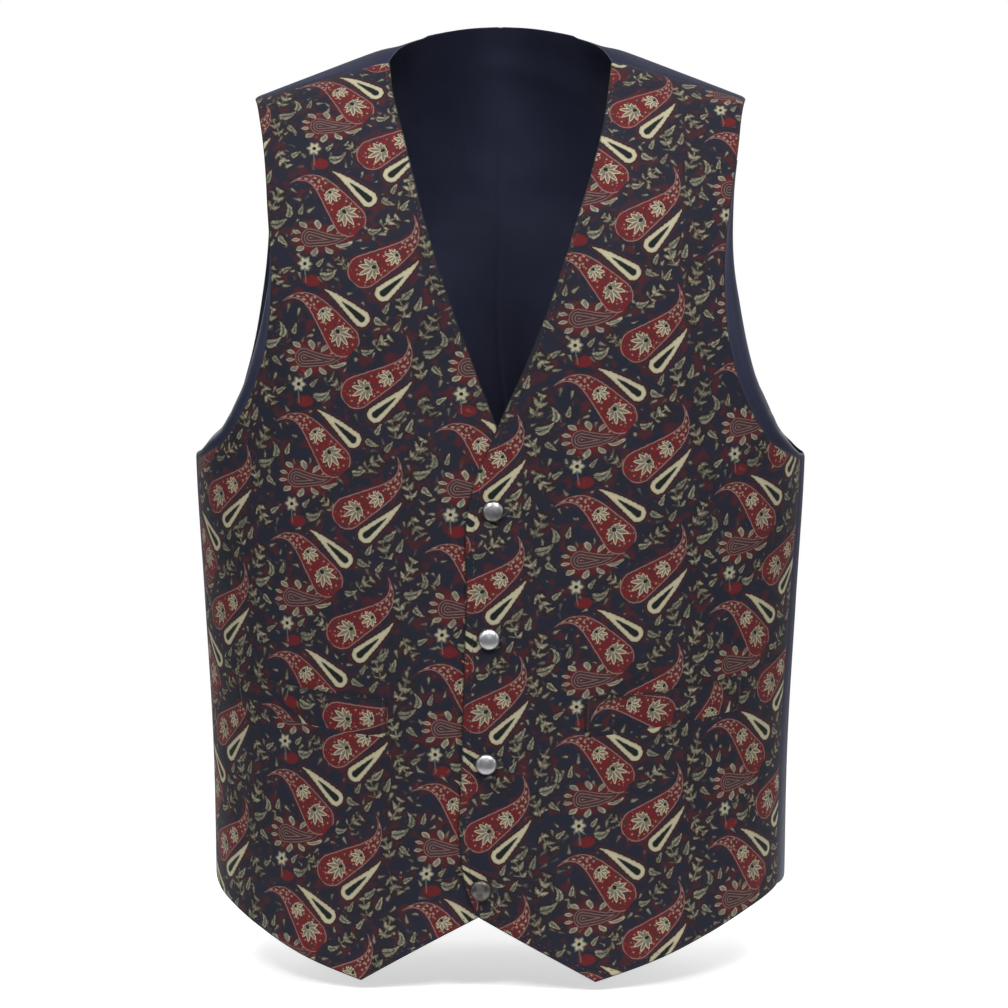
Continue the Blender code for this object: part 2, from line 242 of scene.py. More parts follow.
# Soft creases: where, their half length and half width, their slant in degrees and their height in metres
CREASES = table(
    "turn rise length width slant height",
    [
        (51, -0.275, 0.050, 0.011, 38, -0.0011),
        (-52, -0.268, 0.046, 0.010, 142, -0.0012),
        (62, -0.330, 0.042, 0.012, 12, -0.0012),
        (-64, -0.345, 0.046, 0.013, 170, -0.0014),
        (66, -0.395, 0.040, 0.011, -8, -0.0010),
        (-66, -0.420, 0.038, 0.012, 186, -0.0011),
        (60, -0.480, 0.060, 0.016, 70, -0.0012),
        (-58, -0.500, 0.066, 0.015, 108, -0.0011),
        (34, -0.520, 0.055, 0.014, 84, 0.0010),
        (-36, -0.540, 0.050, 0.015, 98, 0.0011),
        (30, -0.190, 0.060, 0.012, 64, -0.0009),
        (-31, -0.175, 0.062, 0.013, 118, -0.0010),
        (17, -0.330, 0.040, 0.009, 74, 0.0006),
        (-19, -0.345, 0.036, 0.010, 104, 0.0006),
    ],
)
BACK_CREASES = table(
    "turn rise length width slant height",
    [
        (194, -0.440, 0.085, 0.008, 86, -0.0050),
        (166, -0.425, 0.080, 0.008, 95, -0.0046),
        (208, -0.470, 0.065, 0.011, 80, 0.0040),
        (151, -0.465, 0.070, 0.010, 101, 0.0042),
        (222, -0.345, 0.070, 0.010, 48, -0.0046),
        (139, -0.335, 0.066, 0.010, 130, -0.0048),
        (228, -0.415, 0.050, 0.009, 16, -0.0042),
        (132, -0.430, 0.052, 0.009, 163, -0.0040),
        (236, -0.445, 0.040, 0.008, 6, 0.0032),
        (125, -0.462, 0.042, 0.008, 172, 0.0030),
        (217, -0.505, 0.050, 0.010, 66, -0.0036),
        (141, -0.515, 0.046, 0.010, 116, -0.0034),
        (214, -0.180, 0.070, 0.013, 58, -0.0018),
        (147, -0.170, 0.066, 0.012, 120, -0.0020),
        (182, -0.075, 0.060, 0.012, 3, -0.0012),
        (176, 0.004, 0.042, 0.008, 5, -0.0014),
        (177, -0.240, 0.110, 0.015, 90, 0.0014),
        (190, -0.510, 0.050, 0.013, 80, 0.0016),
        (170, -0.505, 0.055, 0.012, 99, 0.0014),
    ],
)
# Metres of cloth in a degree of turn
DEGREE_ON_CLOTH = 0.0031

# The back's centre seam and its two waist darts
BACK_SEAM = {"width": 0.0012, "depth": 0.0008, "dart": 24.0, "dart_top": -0.285, "dart_full": -0.345}

# Grid positions near a cut edge, in metres from it, and each span's divisions and its length on the cloth
EDGE_STEPS = np.array([0.0, 0.0006, 0.0014, 0.0026, 0.0045])
FRONT_COLUMNS = ((46, 0.20), (16, 0.075))
FRONT_ROWS = ((52, 0.32), (52, 0.29))
BACK_COLUMNS = ((10, 0.05), (30, 0.13), (20, 0.12))
BACK_ROWS = ((46, 0.30), (40, 0.30), (14, 0.06))
WELT_COLUMNS = 64
WELT_ROWS = 12
BUTTON_STEPS = 64

# Steps that slopes are measured over, and where and how finely the cloth is laid flat
PROBE_TURN = 0.05
PROBE_RISE = 0.0002
REFERENCE_RISE = -0.35
FLAT_STEPS = 49

# Stitch lines: their shares across and up the cut, with the number of points to measure along each
STITCH_LINES = {
    "edge_in": 0.018,
    "edge": (0.012, 1.97, 400),
    "hem_in": 0.013,
    "hem": (0.02, 0.985, 300),
    "welt_in": (0.018, 0.982),
    "welt": (0.04, 0.96, 30),
}
# How proud a stitch stands and the step of a buttonhole's wraps, in stitch widths
STITCH_PROUD = 0.15
WRAP_STEP = 0.8
# The step of a welt's stitches, in stitch lengths
WELT_STITCH_STEP = 1.25

# Soft lights: where each stands, what it is aimed at, its size, its share of the power and its spread
LIGHTS = {
    "key_left": ((0.74, -1.5, 1.35), (0, -0.1, -0.05), 0.6, 0.52, 52.0),
    "key_right": ((-0.86, -1.5, 1.35), (0, -0.1, -0.05), 0.6, 0.52, 52.0),
    "front": ((0.0, -3.0, 0.35), (0, 0, -0.3), 0.6, 0.38, 180.0),
    "left": ((2.1, -0.8, 0.4), (0, 0, -0.3), 1.2, 1.5, 180.0),
    "right": ((-2.1, -0.8, 0.4), (0, 0, -0.3), 1.2, 0.95, 180.0),
    "behind_left": ((1.5, 1.7, 0.6), (0, 0, -0.4), 1.0, 3.2, 180.0),
    "behind_right": ((-1.5, 1.7, 0.6), (0, 0, -0.4), 1.0, 2.9, 180.0),
}

# The print, in millimetres on the cloth. Two large drops and one small one stand in each repeat.
REPEAT = (107.5, 79.5)
LARGE_DROP = {
    "first": (0.0, 0.0, 0.0),
    "second": (39.1, -39.2, 0.0),
    "first_heading": np.radians(130.0),
    "second_heading": np.radians(31.0),
    "middle": (18.4, -0.9, 0.0),
    "radius": 11.0,
    "length": 49.0,
    "power": 0.68,
    "curl": np.radians(22.0),
    "curl_reach": 49.0,
    "tail": 30.0,
}
FLOWERS = {
    "first": 6.4,
    "step": 16.6,
    "side": -0.6,
    "first_size": 10.8,
    "second_size": 8.2,
    "petals": 10,
    "row_end": 29.5,
}
SIDE_DROP = {
    "at": (4.2, -18.5, 0.0),
    "heading": np.radians(12.0),
    "radius": 5.4,
    "length": 30.5,
    "power": 0.80,
}
SIDE_CORE = {"radius": 2.2, "length": 17.0, "power": 0.62}
SMALL_DROP = {
    "at": (-14.7, -27.7, 0.0),
    "heading": np.radians(-4.0),
    "radius": 6.4,
    "length": 29.0,
    "power": 0.78,
    "curl": np.radians(16.0),
    "curl_reach": 30.0,
    "leaves": 11,
}
BUD = {"spacing": 7.4, "radius": 1.05, "length": 4.3, "power": 0.75}
STAR = {"at": (-17.3, 34.3, 0.0), "points": 6, "radius": 5.6, "notch": 0.36, "heart": 1.3, "berry": 6.0}
# Leaves, in lengths of their sprig
LEAF = {"radius": 0.25, "length": 0.86, "power": 0.70}
PAIRED_LEAF = {"radius": 0.095, "length": 0.33, "power": 0.70}
SPRIGS = table(
    "x y slant length bend leaves",
    [
        (-41, -3, 66, 14.0, 0.25, 1),
        (-31, -9, 96, 9.5, 0.85, 0),
        (-22, -8, 78, 7.0, 0.00, 0),
        (-36, -19, 20, 11.5, 0.55, 0),
        (-46, -29, 112, 13.0, 0.30, 1),
        (-33, -32, -38, 8.0, 0.15, 0),
        (37, -14, 40, 12.5, -0.25, 1),
        (47, -2, 58, 7.5, 0.00, 0),
        (36, -2, -24, 8.5, 0.45, 0),
        (29, -21, 12, 8.0, 0.60, 0),
        (49, 9, 108, 13.5, 0.20, 1),
        (39, 9, 66, 7.0, 0.00, 0),
        (-48, 13, 72, 8.5, 0.10, 0),
        (-39, 24, -58, 12.5, 0.60, 1),
        (-29, 30, 32, 7.0, 0.00, 0),
        (1, 28, 18, 11.0, 0.90, 0),
        (8, -43, 142, 9.5, 0.08, 1),
        (-6, -43, 50, 6.5, 0.00, 0),
        (53, 19, 44, 9.0, 0.30, 0),
    ],
)
# How the print lies on each piece: its slant in degrees and its shift in millimetres
PRINT_ON = {
    "front_left": (3.0, (-73.8, -213.8)),
    "front_right": (-2.6, (120.5, -262.9)),
    "welt_left": (33.0, (-48.6, 110.7)),
    "welt_right": (-28.0, (76.7, 66.7)),
}


def smooth_step(low, high, at):
    """0 at low, 1 at high and smooth between."""
    share = np.clip((at - low) / (high - low), 0, 1)
    return share * share * (3 - 2 * share)


def curve(rows, by, column, at):
    """The smooth curve through one column of a table, read against another."""
    knots, values = rows[by], rows[column]
    slopes = np.gradient(values, knots)
    at = np.clip(at, knots[0], knots[-1])
    i = np.clip(np.searchsorted(knots, at) - 1, 0, len(knots) - 2)
    step = knots[i + 1] - knots[i]
    t = (at - knots[i]) / step
    start = values[i] * (1 + 2 * t) + slopes[i] * step * t
    end = values[i + 1] * (3 - 2 * t) - slopes[i + 1] * step * (1 - t)
    return start * (1 - t) ** 2 + end * t**2


def ridge_height(x):
    """Height of the shoulder ridge, which climbs towards the neck."""
    near_neck = np.clip(1 - (x / NECK_REACH) ** 2, 0, 1)
    slope = SHOULDER_SLOPE * (SHOULDER_MIDDLE - np.hypot(x, RIDGE_SOFTNESS))
    dip = NECK_DIP["depth"] * np.exp(-(((np.abs(x) - NECK_DIP["at"]) / NECK_DIP["width"]) ** 2))
    return slope + NECK_RISE * near_neck**3 - dip


def body_point(turn, rise):
    """Points of the chest at these turns and rises, as an array of x, y, z."""
    angle = np.radians(turn)
    x = curve(BODY, "height", "half_width", rise) * np.sin(angle)
    ridge = ridge_height(x)
    on_front = np.cos(angle) >= 0
    roll = np.where(on_front, FRONT_ROLL, BACK_ROLL)
    lean = np.minimum(np.pi / 2 - (rise - ridge + roll) / roll, np.pi / 2)
    past_ridge = lean < 0
    lean = np.where(past_ridge, -lean * roll / FRONT_ROLL, lean)
    roll = np.where(past_ridge, FRONT_ROLL, roll)
    on_front = on_front | past_ridge
    z = np.minimum(rise, ridge - roll * (1 - np.cos(lean)))
    depth = np.where(
        on_front,
        -curve(BODY, "height", "front_depth", z),
        curve(BODY, "height", "back_depth", z),
    )
    section = (1 - np.abs(np.sin(angle)) ** SECTION_POWER) ** (1 / SECTION_POWER)
    return np.stack([x, depth * section * np.sin(lean), z], axis=-1)


def worn_point(turn, rise):
    """Points of the cloth as worn, from its place on the cut."""
    from_centre = np.abs((turn + 180) % 360 - 180)
    to_side = np.clip(from_centre / SIDE_SEAM, 0, 1)
    to_back = np.clip((from_centre - SIDE_SEAM) / (SLEW_BACK_REACHED - SIDE_SEAM), 0, 1)
    centre, side, back = (curve(SLEW, "height", name, rise) for name in ("centre", "side", "back"))
    slew = centre + (side - centre) * to_side + (back - side) * to_back
    return body_point(turn + slew, rise)


def outward(turn, rise):
    """The cloth's outward normals."""
    across = worn_point(turn + PROBE_TURN, rise) - worn_point(turn - PROBE_TURN, rise)
    up = worn_point(turn, rise + PROBE_RISE) - worn_point(turn, rise - PROBE_RISE)
    normal = np.cross(across, up)
    return normal / np.linalg.norm(normal, axis=-1, keepdims=True)


def overlap_lift(turn, rise, side):
    """How far a front lies off the chest where the two fronts cross, on each front's own side."""
    near_centre = 1 - smooth_step(OVERLAP_FLAT, OVERLAP_END, turn * side)
    low = 1 - smooth_step(OVERLAP_FULL_BELOW, OVERLAP_NONE_ABOVE, rise)
    return side * OVERLAP_LIFT * near_centre * low


def crease_lift(rows, turn, rise):
    """How far the creases of a table lift the cloth, which its side seams hold still."""
    lift = np.zeros_like(turn)
    from_seam = np.abs(np.abs((turn + 180) % 360 - 180) - SIDE_SEAM)
    for i in range(len(rows["turn"])):
        across = (turn - rows["turn"][i]) * DEGREE_ON_CLOTH
        up = rise - rows["rise"][i]
        slant = np.radians(rows["slant"][i])
        along = (across * np.cos(slant) + up * np.sin(slant)) / rows["length"][i]
        off = (up * np.cos(slant) - across * np.sin(slant)) / rows["width"][i]
        lift = lift + rows["height"][i] * np.exp(-(along**2) - off**2)
    return lift * smooth_step(0, SEAM_TUCK["held"], from_seam)


def front_point(turn, rise, side, lift=0.0):
    """Points of a front's outer face, moved out by lift. side is 1 on the wearer's left, -1 on the right."""
    off = overlap_lift(turn, rise, side) + crease_lift(CREASES, turn, rise) + lift
    return worn_point(turn, rise) + outward(turn, rise) * off[..., None]


def back_seam_lift(turn, rise):
    """How far the back sinks at its centre seam and darts, and where it goes under the fronts."""
    from_back = np.abs(turn - 180.0)
    centre = np.exp(-((from_back * DEGREE_ON_CLOTH / BACK_SEAM["width"]) ** 2))
    dart = np.exp(-(((from_back - BACK_SEAM["dart"]) * DEGREE_ON_CLOTH / BACK_SEAM["width"]) ** 2))
    dart = dart * smooth_step(BACK_SEAM["dart_top"], BACK_SEAM["dart_full"], rise)
    seam = 180.0 - SIDE_SEAM
    tucked = smooth_step(seam - SEAM_TUCK["from"], seam + SEAM_TUCK["turn"], from_back)
    return -BACK_SEAM["depth"] * (centre + dart) - SEAM_TUCK["depth"] * tucked


def back_point(turn, rise):
    """Points of the back's outer face."""
    off = crease_lift(BACK_CREASES, turn, rise) + back_seam_lift(turn, rise)
    return worn_point(turn, rise) + outward(turn, rise) * off[..., None]


def rise_of(height, turn, roll):
    """The rise of a place on the cloth whose height is known, on a sheet with that roll."""
    half_width = curve(BODY, "height", "half_width", height)
    ridge = ridge_height(half_width * np.sin(np.radians(turn)))
    drop = np.clip((ridge - height) / roll, 0, 1)
    lean = np.arccos(1 - drop)
    return np.where(drop < 1, ridge - roll + roll * (np.pi / 2 - lean), height)


def by_rise(rows, roll):
    """An edge's table with the rise of each row in place of its height."""
    return {"rise": rise_of(rows["height"], rows["turn"], roll), "turn": rows["turn"]}


def ridge_rise(turn, roll):
    """The rise of the shoulder ridge, measured up a sheet with that roll."""
    x = curve(BODY, "height", "half_width", 0.0) * np.sin(np.radians(turn))
    return ridge_height(x) - roll + roll * np.pi / 2


def shoulder_seam_rise(turn, roll):
    """The rise of the shoulder seam, just in front of the ridge, measured up the front or up the back."""
    half_width = curve(BODY, "height", "half_width", 0.0)
    x = half_width * np.sin(np.radians(turn))
    to_tip = (x / half_width - np.sin(np.radians(NECK_END))) / (
        SHOULDER_TIP / half_width - np.sin(np.radians(NECK_END))
    )
    drop = SEAM_DROP_AT_NECK + (SEAM_DROP_AT_TIP - SEAM_DROP_AT_NECK) * np.clip(to_tip, 0, 1)
    from_ridge = FRONT_ROLL * np.arccos(1 - drop / FRONT_ROLL)
    return ridge_rise(turn, roll) + np.where(roll == FRONT_ROLL, -from_ridge, from_ridge) - MEETING_GAP


def front_hem(turn):
    """Height of a front's hem: straight from the centre notch to the point, then curving up to the side."""
    to_point = CENTRE_NOTCH + (FRONT_HEM["height"][0] - CENTRE_NOTCH) * turn / POINT_TURN
    return np.where(turn < POINT_TURN, to_point, curve(FRONT_HEM, "turn", "height", turn))


def shoulder_tip():
    """Turn of the shoulder tip."""
    return np.degrees(np.arcsin(SHOULDER_TIP / curve(BODY, "height", "half_width", 0.0)))


def front_cut(columns, rows):
    """Turn and rise of a front's grid.

    Columns go from 0 at the centre edge to 1 at the side seam. Rows go from 0 at the hem to 1 at the foot of
    the armhole and 2 at the shoulder seam. Above row 1, the columns beyond the armhole are not numbers.
    """
    across, up = np.meshgrid(columns, rows, indexing="ij")
    corner = FRONT_ARMHOLE["turn"][0] / SIDE_SEAM
    strap = across / corner
    low = front_hem(across * SIDE_SEAM)
    foot = curve(FRONT_UNDERARM, "turn", "height", across * SIDE_SEAM)
    high = shoulder_seam_rise(NECK_END + (shoulder_tip() - NECK_END) * strap, FRONT_ROLL)
    rise = np.where(up <= 1, low + (foot - low) * up, foot + (high - foot) * (up - 1))
    side = SIDE_SEAM - np.degrees(MEETING_GAP / 2 / BODY["front_depth"].mean())
    inner = curve(by_rise(FRONT_EDGE, FRONT_ROLL), "rise", "turn", rise)
    armhole = curve(by_rise(FRONT_ARMHOLE, FRONT_ROLL), "rise", "turn", rise)
    turn = np.where(up <= 1, inner + (side - inner) * across, inner + (armhole - inner) * strap)
    absent = (up > 1) & (strap > 1 + 1e-9)
    return np.where(absent, np.nan, turn), np.where(absent, np.nan, rise)


def back_cut(columns, rows):
    """Turn and rise of the back's grid.

    Columns go from -1 at the left side seam to 1 at the right one. Rows go from 0 at the hem to 1 at the foot
    of the armhole, 2 at the neckline and 3 at the shoulder seams, where only the straps' columns remain.
    """
    across, up = np.meshgrid(columns, rows, indexing="ij")
    share, tip, side = np.abs(across), shoulder_tip(), 180.0 - SIDE_SEAM
    corner = BACK_ARMHOLE["turn"][0] / side
    strap = share / corner
    neck_corner = NECK_CORNER / tip
    along_strap = (strap - neck_corner) / (1 - neck_corner)
    foot = curve(BACK_UNDERARM, "turn", "height", share * side)
    neckline = rise_of(curve(BACK_NECK, "turn", "height", strap * tip), strap * tip, BACK_ROLL)
    corner_height = curve(BACK_NECK, "turn", "height", NECK_CORNER)
    below_ridge = ridge_rise(NECK_CORNER, BACK_ROLL) - rise_of(corner_height, NECK_CORNER, BACK_ROLL)
    strap_foot = ridge_rise(np.minimum(strap, 1) * tip, BACK_ROLL) - below_ridge
    middle = np.where(along_strap <= 0, neckline, strap_foot)
    high = shoulder_seam_rise(NECK_END + (tip - NECK_END) * along_strap, BACK_ROLL)
    rise = BACK_HEM + (foot - BACK_HEM) * up
    rise = np.where(up > 1, foot + (middle - foot) * (up - 1), rise)
    rise = np.where(up > 2, middle + (high - middle) * (up - 2), rise)
    armhole = curve(by_rise(BACK_ARMHOLE, BACK_ROLL), "rise", "turn", rise)
    neck_side = NECK_CORNER + (NECK_END - NECK_CORNER) * np.clip(up - 2, 0, 1) ** NECK_BOW
    turn = share * side + SEAM_TUCK["turn"] * smooth_step(0.9, 1.0, share)
    turn = np.where(up > 1, armhole * strap, turn)
    turn = np.where(up > 2, neck_side + (armhole - neck_side) * along_strap, turn)
    absent = ((up > 1) & (strap > 1 + 1e-9)) | ((up > 2) & (along_strap < -1e-9))
    return np.where(absent, np.nan, 180.0 + np.sign(across) * turn), np.where(absent, np.nan, rise)


def crowded(start, end, count, length):
    """Grid positions from start to end, crowded at both ends, on a stretch of cloth of that length."""
    near = EDGE_STEPS / length
    middle = np.linspace(near[-1], 1 - near[-1], count + 1)[1:-1]
    return start + (end - start) * np.concatenate([near, middle, 1 - near[::-1]])


def grid_line(stops, spans):
    """Grid positions through these stops, crowded at each, with the divisions and length of each span."""
    parts = [crowded(start, end, *span) for start, end, span in zip(stops, stops[1:], spans)]
    return np.concatenate([parts[0], *[part[1:] for part in parts[1:]]])


def flat_place(turn, rise):
    """Where a place on the cloth lies when the cloth is flat, in metres from the centre front."""
    round_body = np.linspace(-120, 300, 1681)
    section = worn_point(round_body, np.full_like(round_body, REFERENCE_RISE))
    girth = np.concatenate([[0], np.cumsum(np.linalg.norm(np.diff(section, axis=0), axis=1))])
    across = np.interp(turn, round_body, girth) - np.interp(0, round_body, girth)
    climb = REFERENCE_RISE + (rise - REFERENCE_RISE)[..., None] * np.linspace(0, 1, FLAT_STEPS)
    column = worn_point(turn[..., None] + np.zeros_like(climb), climb)
    length = np.linalg.norm(np.diff(column, axis=-2), axis=-1).sum(axis=-1)
    return np.stack([across, length * np.sign(rise - REFERENCE_RISE)], axis=-1)


def print_place(piece, turn, rise):
    """Where a place on the cloth lies in the print, in metres."""
    slant, shift = PRINT_ON[piece]
    angle = np.radians(slant)
    place = flat_place(turn, rise)
    across = place[..., 0] * np.cos(angle) + place[..., 1] * np.sin(angle) + shift[0] / MILLIMETRES
    up = place[..., 1] * np.cos(angle) - place[..., 0] * np.sin(angle) + shift[1] / MILLIMETRES
    return np.stack([across, up], axis=-1)


def edge_distance(points):
    """How far each point of a grid is from the grid's cut edges."""
    present = ~np.isnan(points[..., 0])
    around = np.pad(present, 1)
    width, height = present.shape
    whole = np.ones_like(present)
    for right in (0, 1, 2):
        for up in (0, 1, 2):
            whole &= around[right : right + width, up : up + height]
    edge = points[present & ~whole]
    tree = KDTree(len(edge))
    for number, place in enumerate(edge):
        tree.insert(place, number)
    tree.balance()
    distance = np.full(present.shape, np.nan)
    distance[present] = [tree.find(place)[2] for place in points[present]]
    return distance


def edge_turn_in(cloth, distance):
    """How far the outer face turns in, at a distance from the cut edges."""
    return cloth.edge_roll * (1 - np.clip(distance / cloth.edge_width, 0, 1)) ** 2


def sheet_piece(name, points, place, distance, edge_width, materials, shade=None):
    """A single sheet on a grid of points, with its flat places as UVs and its distance from the edges.

    shade is the distance from the edges that get a dark line of painted shade, where that is not all of them.
    """
    present = ~np.isnan(points[..., 0])
    index = np.cumsum(present.ravel()).reshape(present.shape) - 1
    whole = present[:-1, :-1] & present[1:, :-1] & present[1:, 1:] & present[:-1, 1:]
    corners = [index[:-1, :-1], index[1:, :-1], index[1:, 1:], index[:-1, 1:]]
    mesh = bpy.data.meshes.new(name)
    mesh.from_pydata(points[present].tolist(), [], np.stack(corners, -1)[whole].tolist())
    corner_vertex = np.empty(len(mesh.loops), int)
    mesh.loops.foreach_get("vertex_index", corner_vertex)
    mesh.uv_layers.new(name="Cloth").data.foreach_set("uv", place[present][corner_vertex].ravel())
    from_edge = distance if shade is None else shade
    mesh.attributes.new("edge", "FLOAT", "POINT").data.foreach_set("value", from_edge[present])
    mesh.shade_smooth()
    piece = bpy.data.objects.new(name, mesh)
    bpy.context.scene.collection.objects.link(piece)
    for material in materials:
        mesh.materials.append(material)
    wall = piece.vertex_groups.new(name="wall")
    for number, share in enumerate(smooth_step(0, edge_width, distance[present])):
        wall.add([number], share, "REPLACE")
    return piece


def give_wall(piece, thickness, edge_share, lining, even=True):
    """Thicken a sheet inwards, less at its edges, with the next material on the inside where it is lined."""
    wall = piece.modifiers.new("Wall", "SOLIDIFY")
    wall.thickness = thickness
    wall.offset = -1
    wall.use_even_offset = even
    wall.vertex_group = "wall"
    wall.thickness_vertex_group = edge_share
    wall.material_offset = 1 if lining else 0
    make_plain(piece)


def make_plain(piece):
    """Turn a piece's modifiers into plain mesh."""
    seen = bpy.context.evaluated_depsgraph_get()
    shaped = piece.evaluated_get(seen)
    mesh = bpy.data.meshes.new_from_object(shaped, preserve_all_data_layers=True, depsgraph=seen)
    piece.modifiers.clear()
    piece.data = mesh


def settle(piece, node):
    """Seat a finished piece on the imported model."""
    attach(piece, "root")
    if node:
        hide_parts(node)


class Field:
    """A value on a surface. Arithmetic on it adds Math nodes to its material."""

    def __init__(self, tree, socket=None):
        self.tree = tree
        self.socket = socket

    def node(self, kind, settings=None, sockets=None, output=0):
        """A node of any type: its settings come first, then its sockets take values or links."""
        made = self.tree.nodes.new(kind)
        for name, value in (settings or {}).items():
            setattr(made, name, value)
        for name, value in (sockets or {}).items():
            if isinstance(value, Field):
                self.tree.links.new(value.socket, made.inputs[name])
            else:
                made.inputs[name].default_value = value
        return Field(self.tree, made.outputs[output])

    def maths(self, operation, *values):
        return self.node("ShaderNodeMath", {"operation": operation}, dict(enumerate(values)))

    def __add__(self, other):
        return self.maths("ADD", self, other)

    def __radd__(self, other):
        return self.maths("ADD", other, self)

    def __sub__(self, other):
        return self.maths("SUBTRACT", self, other)

    def __rsub__(self, other):
        return self.maths("SUBTRACT", other, self)

    def __mul__(self, other):
        return self.maths("MULTIPLY", self, other)

    def __rmul__(self, other):
        return self.maths("MULTIPLY", other, self)

    def __truediv__(self, other):
        return self.maths("DIVIDE", self, other)

    def __pow__(self, power):
        return self.maths("POWER", self, power)

    def __abs__(self):
        return self.maths("ABSOLUTE", self)

    def at_most(self, other):
        return self.maths("MINIMUM", self, other)

    def at_least(self, other):
        return self.maths("MAXIMUM", self, other)

    def below(self, limit):
        return self.maths("LESS_THAN", self, limit)

    def between(self, start, end, low=0.0, high=1.0, kind="SMOOTHSTEP"):
        """low where this is start, high where it is end."""
        limits = {"Value": self, "From Min": start, "From Max": end, "To Min": low, "To Max": high}
        return self.node("ShaderNodeMapRange", {"interpolation_type": kind}, limits)

    def inside(self, softness):
        """1 where this distance is negative and 0 where it is positive."""
        return self.between(softness, -softness)

    def vector(self, operation, *values, output=0):
        sockets = dict(enumerate((self, *values)))
        return self.node("ShaderNodeVectorMath", {"operation": operation}, sockets, output)

    def scaled(self, factor):
        return self.node("ShaderNodeVectorMath", {"operation": "SCALE"}, {0: self, "Scale": factor})

    def length(self):
        return self.vector("LENGTH", output=1)

    def turned(self, angle):
        sockets = {"Vector": self, "Angle": angle}
        return self.node("ShaderNodeVectorRotate", {"rotation_type": "Z_AXIS"}, sockets)

    def also(self, output):
        """Another output of this value's node."""
        return Field(self.tree, self.socket.node.outputs[output])

    def parts(self, count=2):
        split = self.node("ShaderNodeSeparateXYZ", None, {0: self})
        return [split.also(i) for i in range(count)]

    def with_y(self, y):
        return self.node("ShaderNodeCombineXYZ", None, {"X": self, "Y": y})

    def choose(self, first, second):
        """The second vector where this is 1, the first where it is 0."""
        return self.node("ShaderNodeMix", {"data_type": "VECTOR"}, {0: self, 4: first, 5: second}, 1)

    def paint(self, under, over, blend="MIX"):
        """The over colour laid on the under colour by this much."""
        settings = {"data_type": "RGBA", "blend_type": blend}
        return self.node("ShaderNodeMix", settings, {0: self, 6: under, 7: over}, 2)

    def noise(self, scale, detail=2.0, colour=False):
        sockets = {"Vector": self, "Scale": scale, "Detail": detail}
        return self.node("ShaderNodeTexNoise", None, sockets, 1 if colour else 0)


def new_material(name):
    """An empty material with one Principled shader, and a field to start its nodes from."""
    material = bpy.data.materials.new(name)
    material.use_nodes = True
    return material, Field(material.node_tree), material.node_tree.nodes["Principled BSDF"]


def feed(shader, **values):
    """Set or link sockets of a shader, named with underscores for spaces."""
    for name, value in values.items():
        socket = shader.inputs[name.replace("_", " ")]
        if isinstance(value, Field):
            value.tree.links.new(value.socket, socket)
        else:
            socket.default_value = value


def from_repeat(place, anchor):
    """A place on the print measured from the nearest repeat of an anchor."""
    half = Vector((*REPEAT, 2.0)) / 2
    return place.vector("SUBTRACT", anchor).vector("WRAP", half, -half)


def drop_distance(x, y, shape):
    """How far outside a drop a place is. Its round end is at the origin and its tip at x = length."""
    width = x.between(0.0, shape["length"], 1.0, 0.0, "LINEAR") ** shape["power"] * shape["radius"]
    past_ends = x.at_most(0.0) + (x - shape["length"]).at_least(0.0)
    return past_ends.with_y(y).length() - width


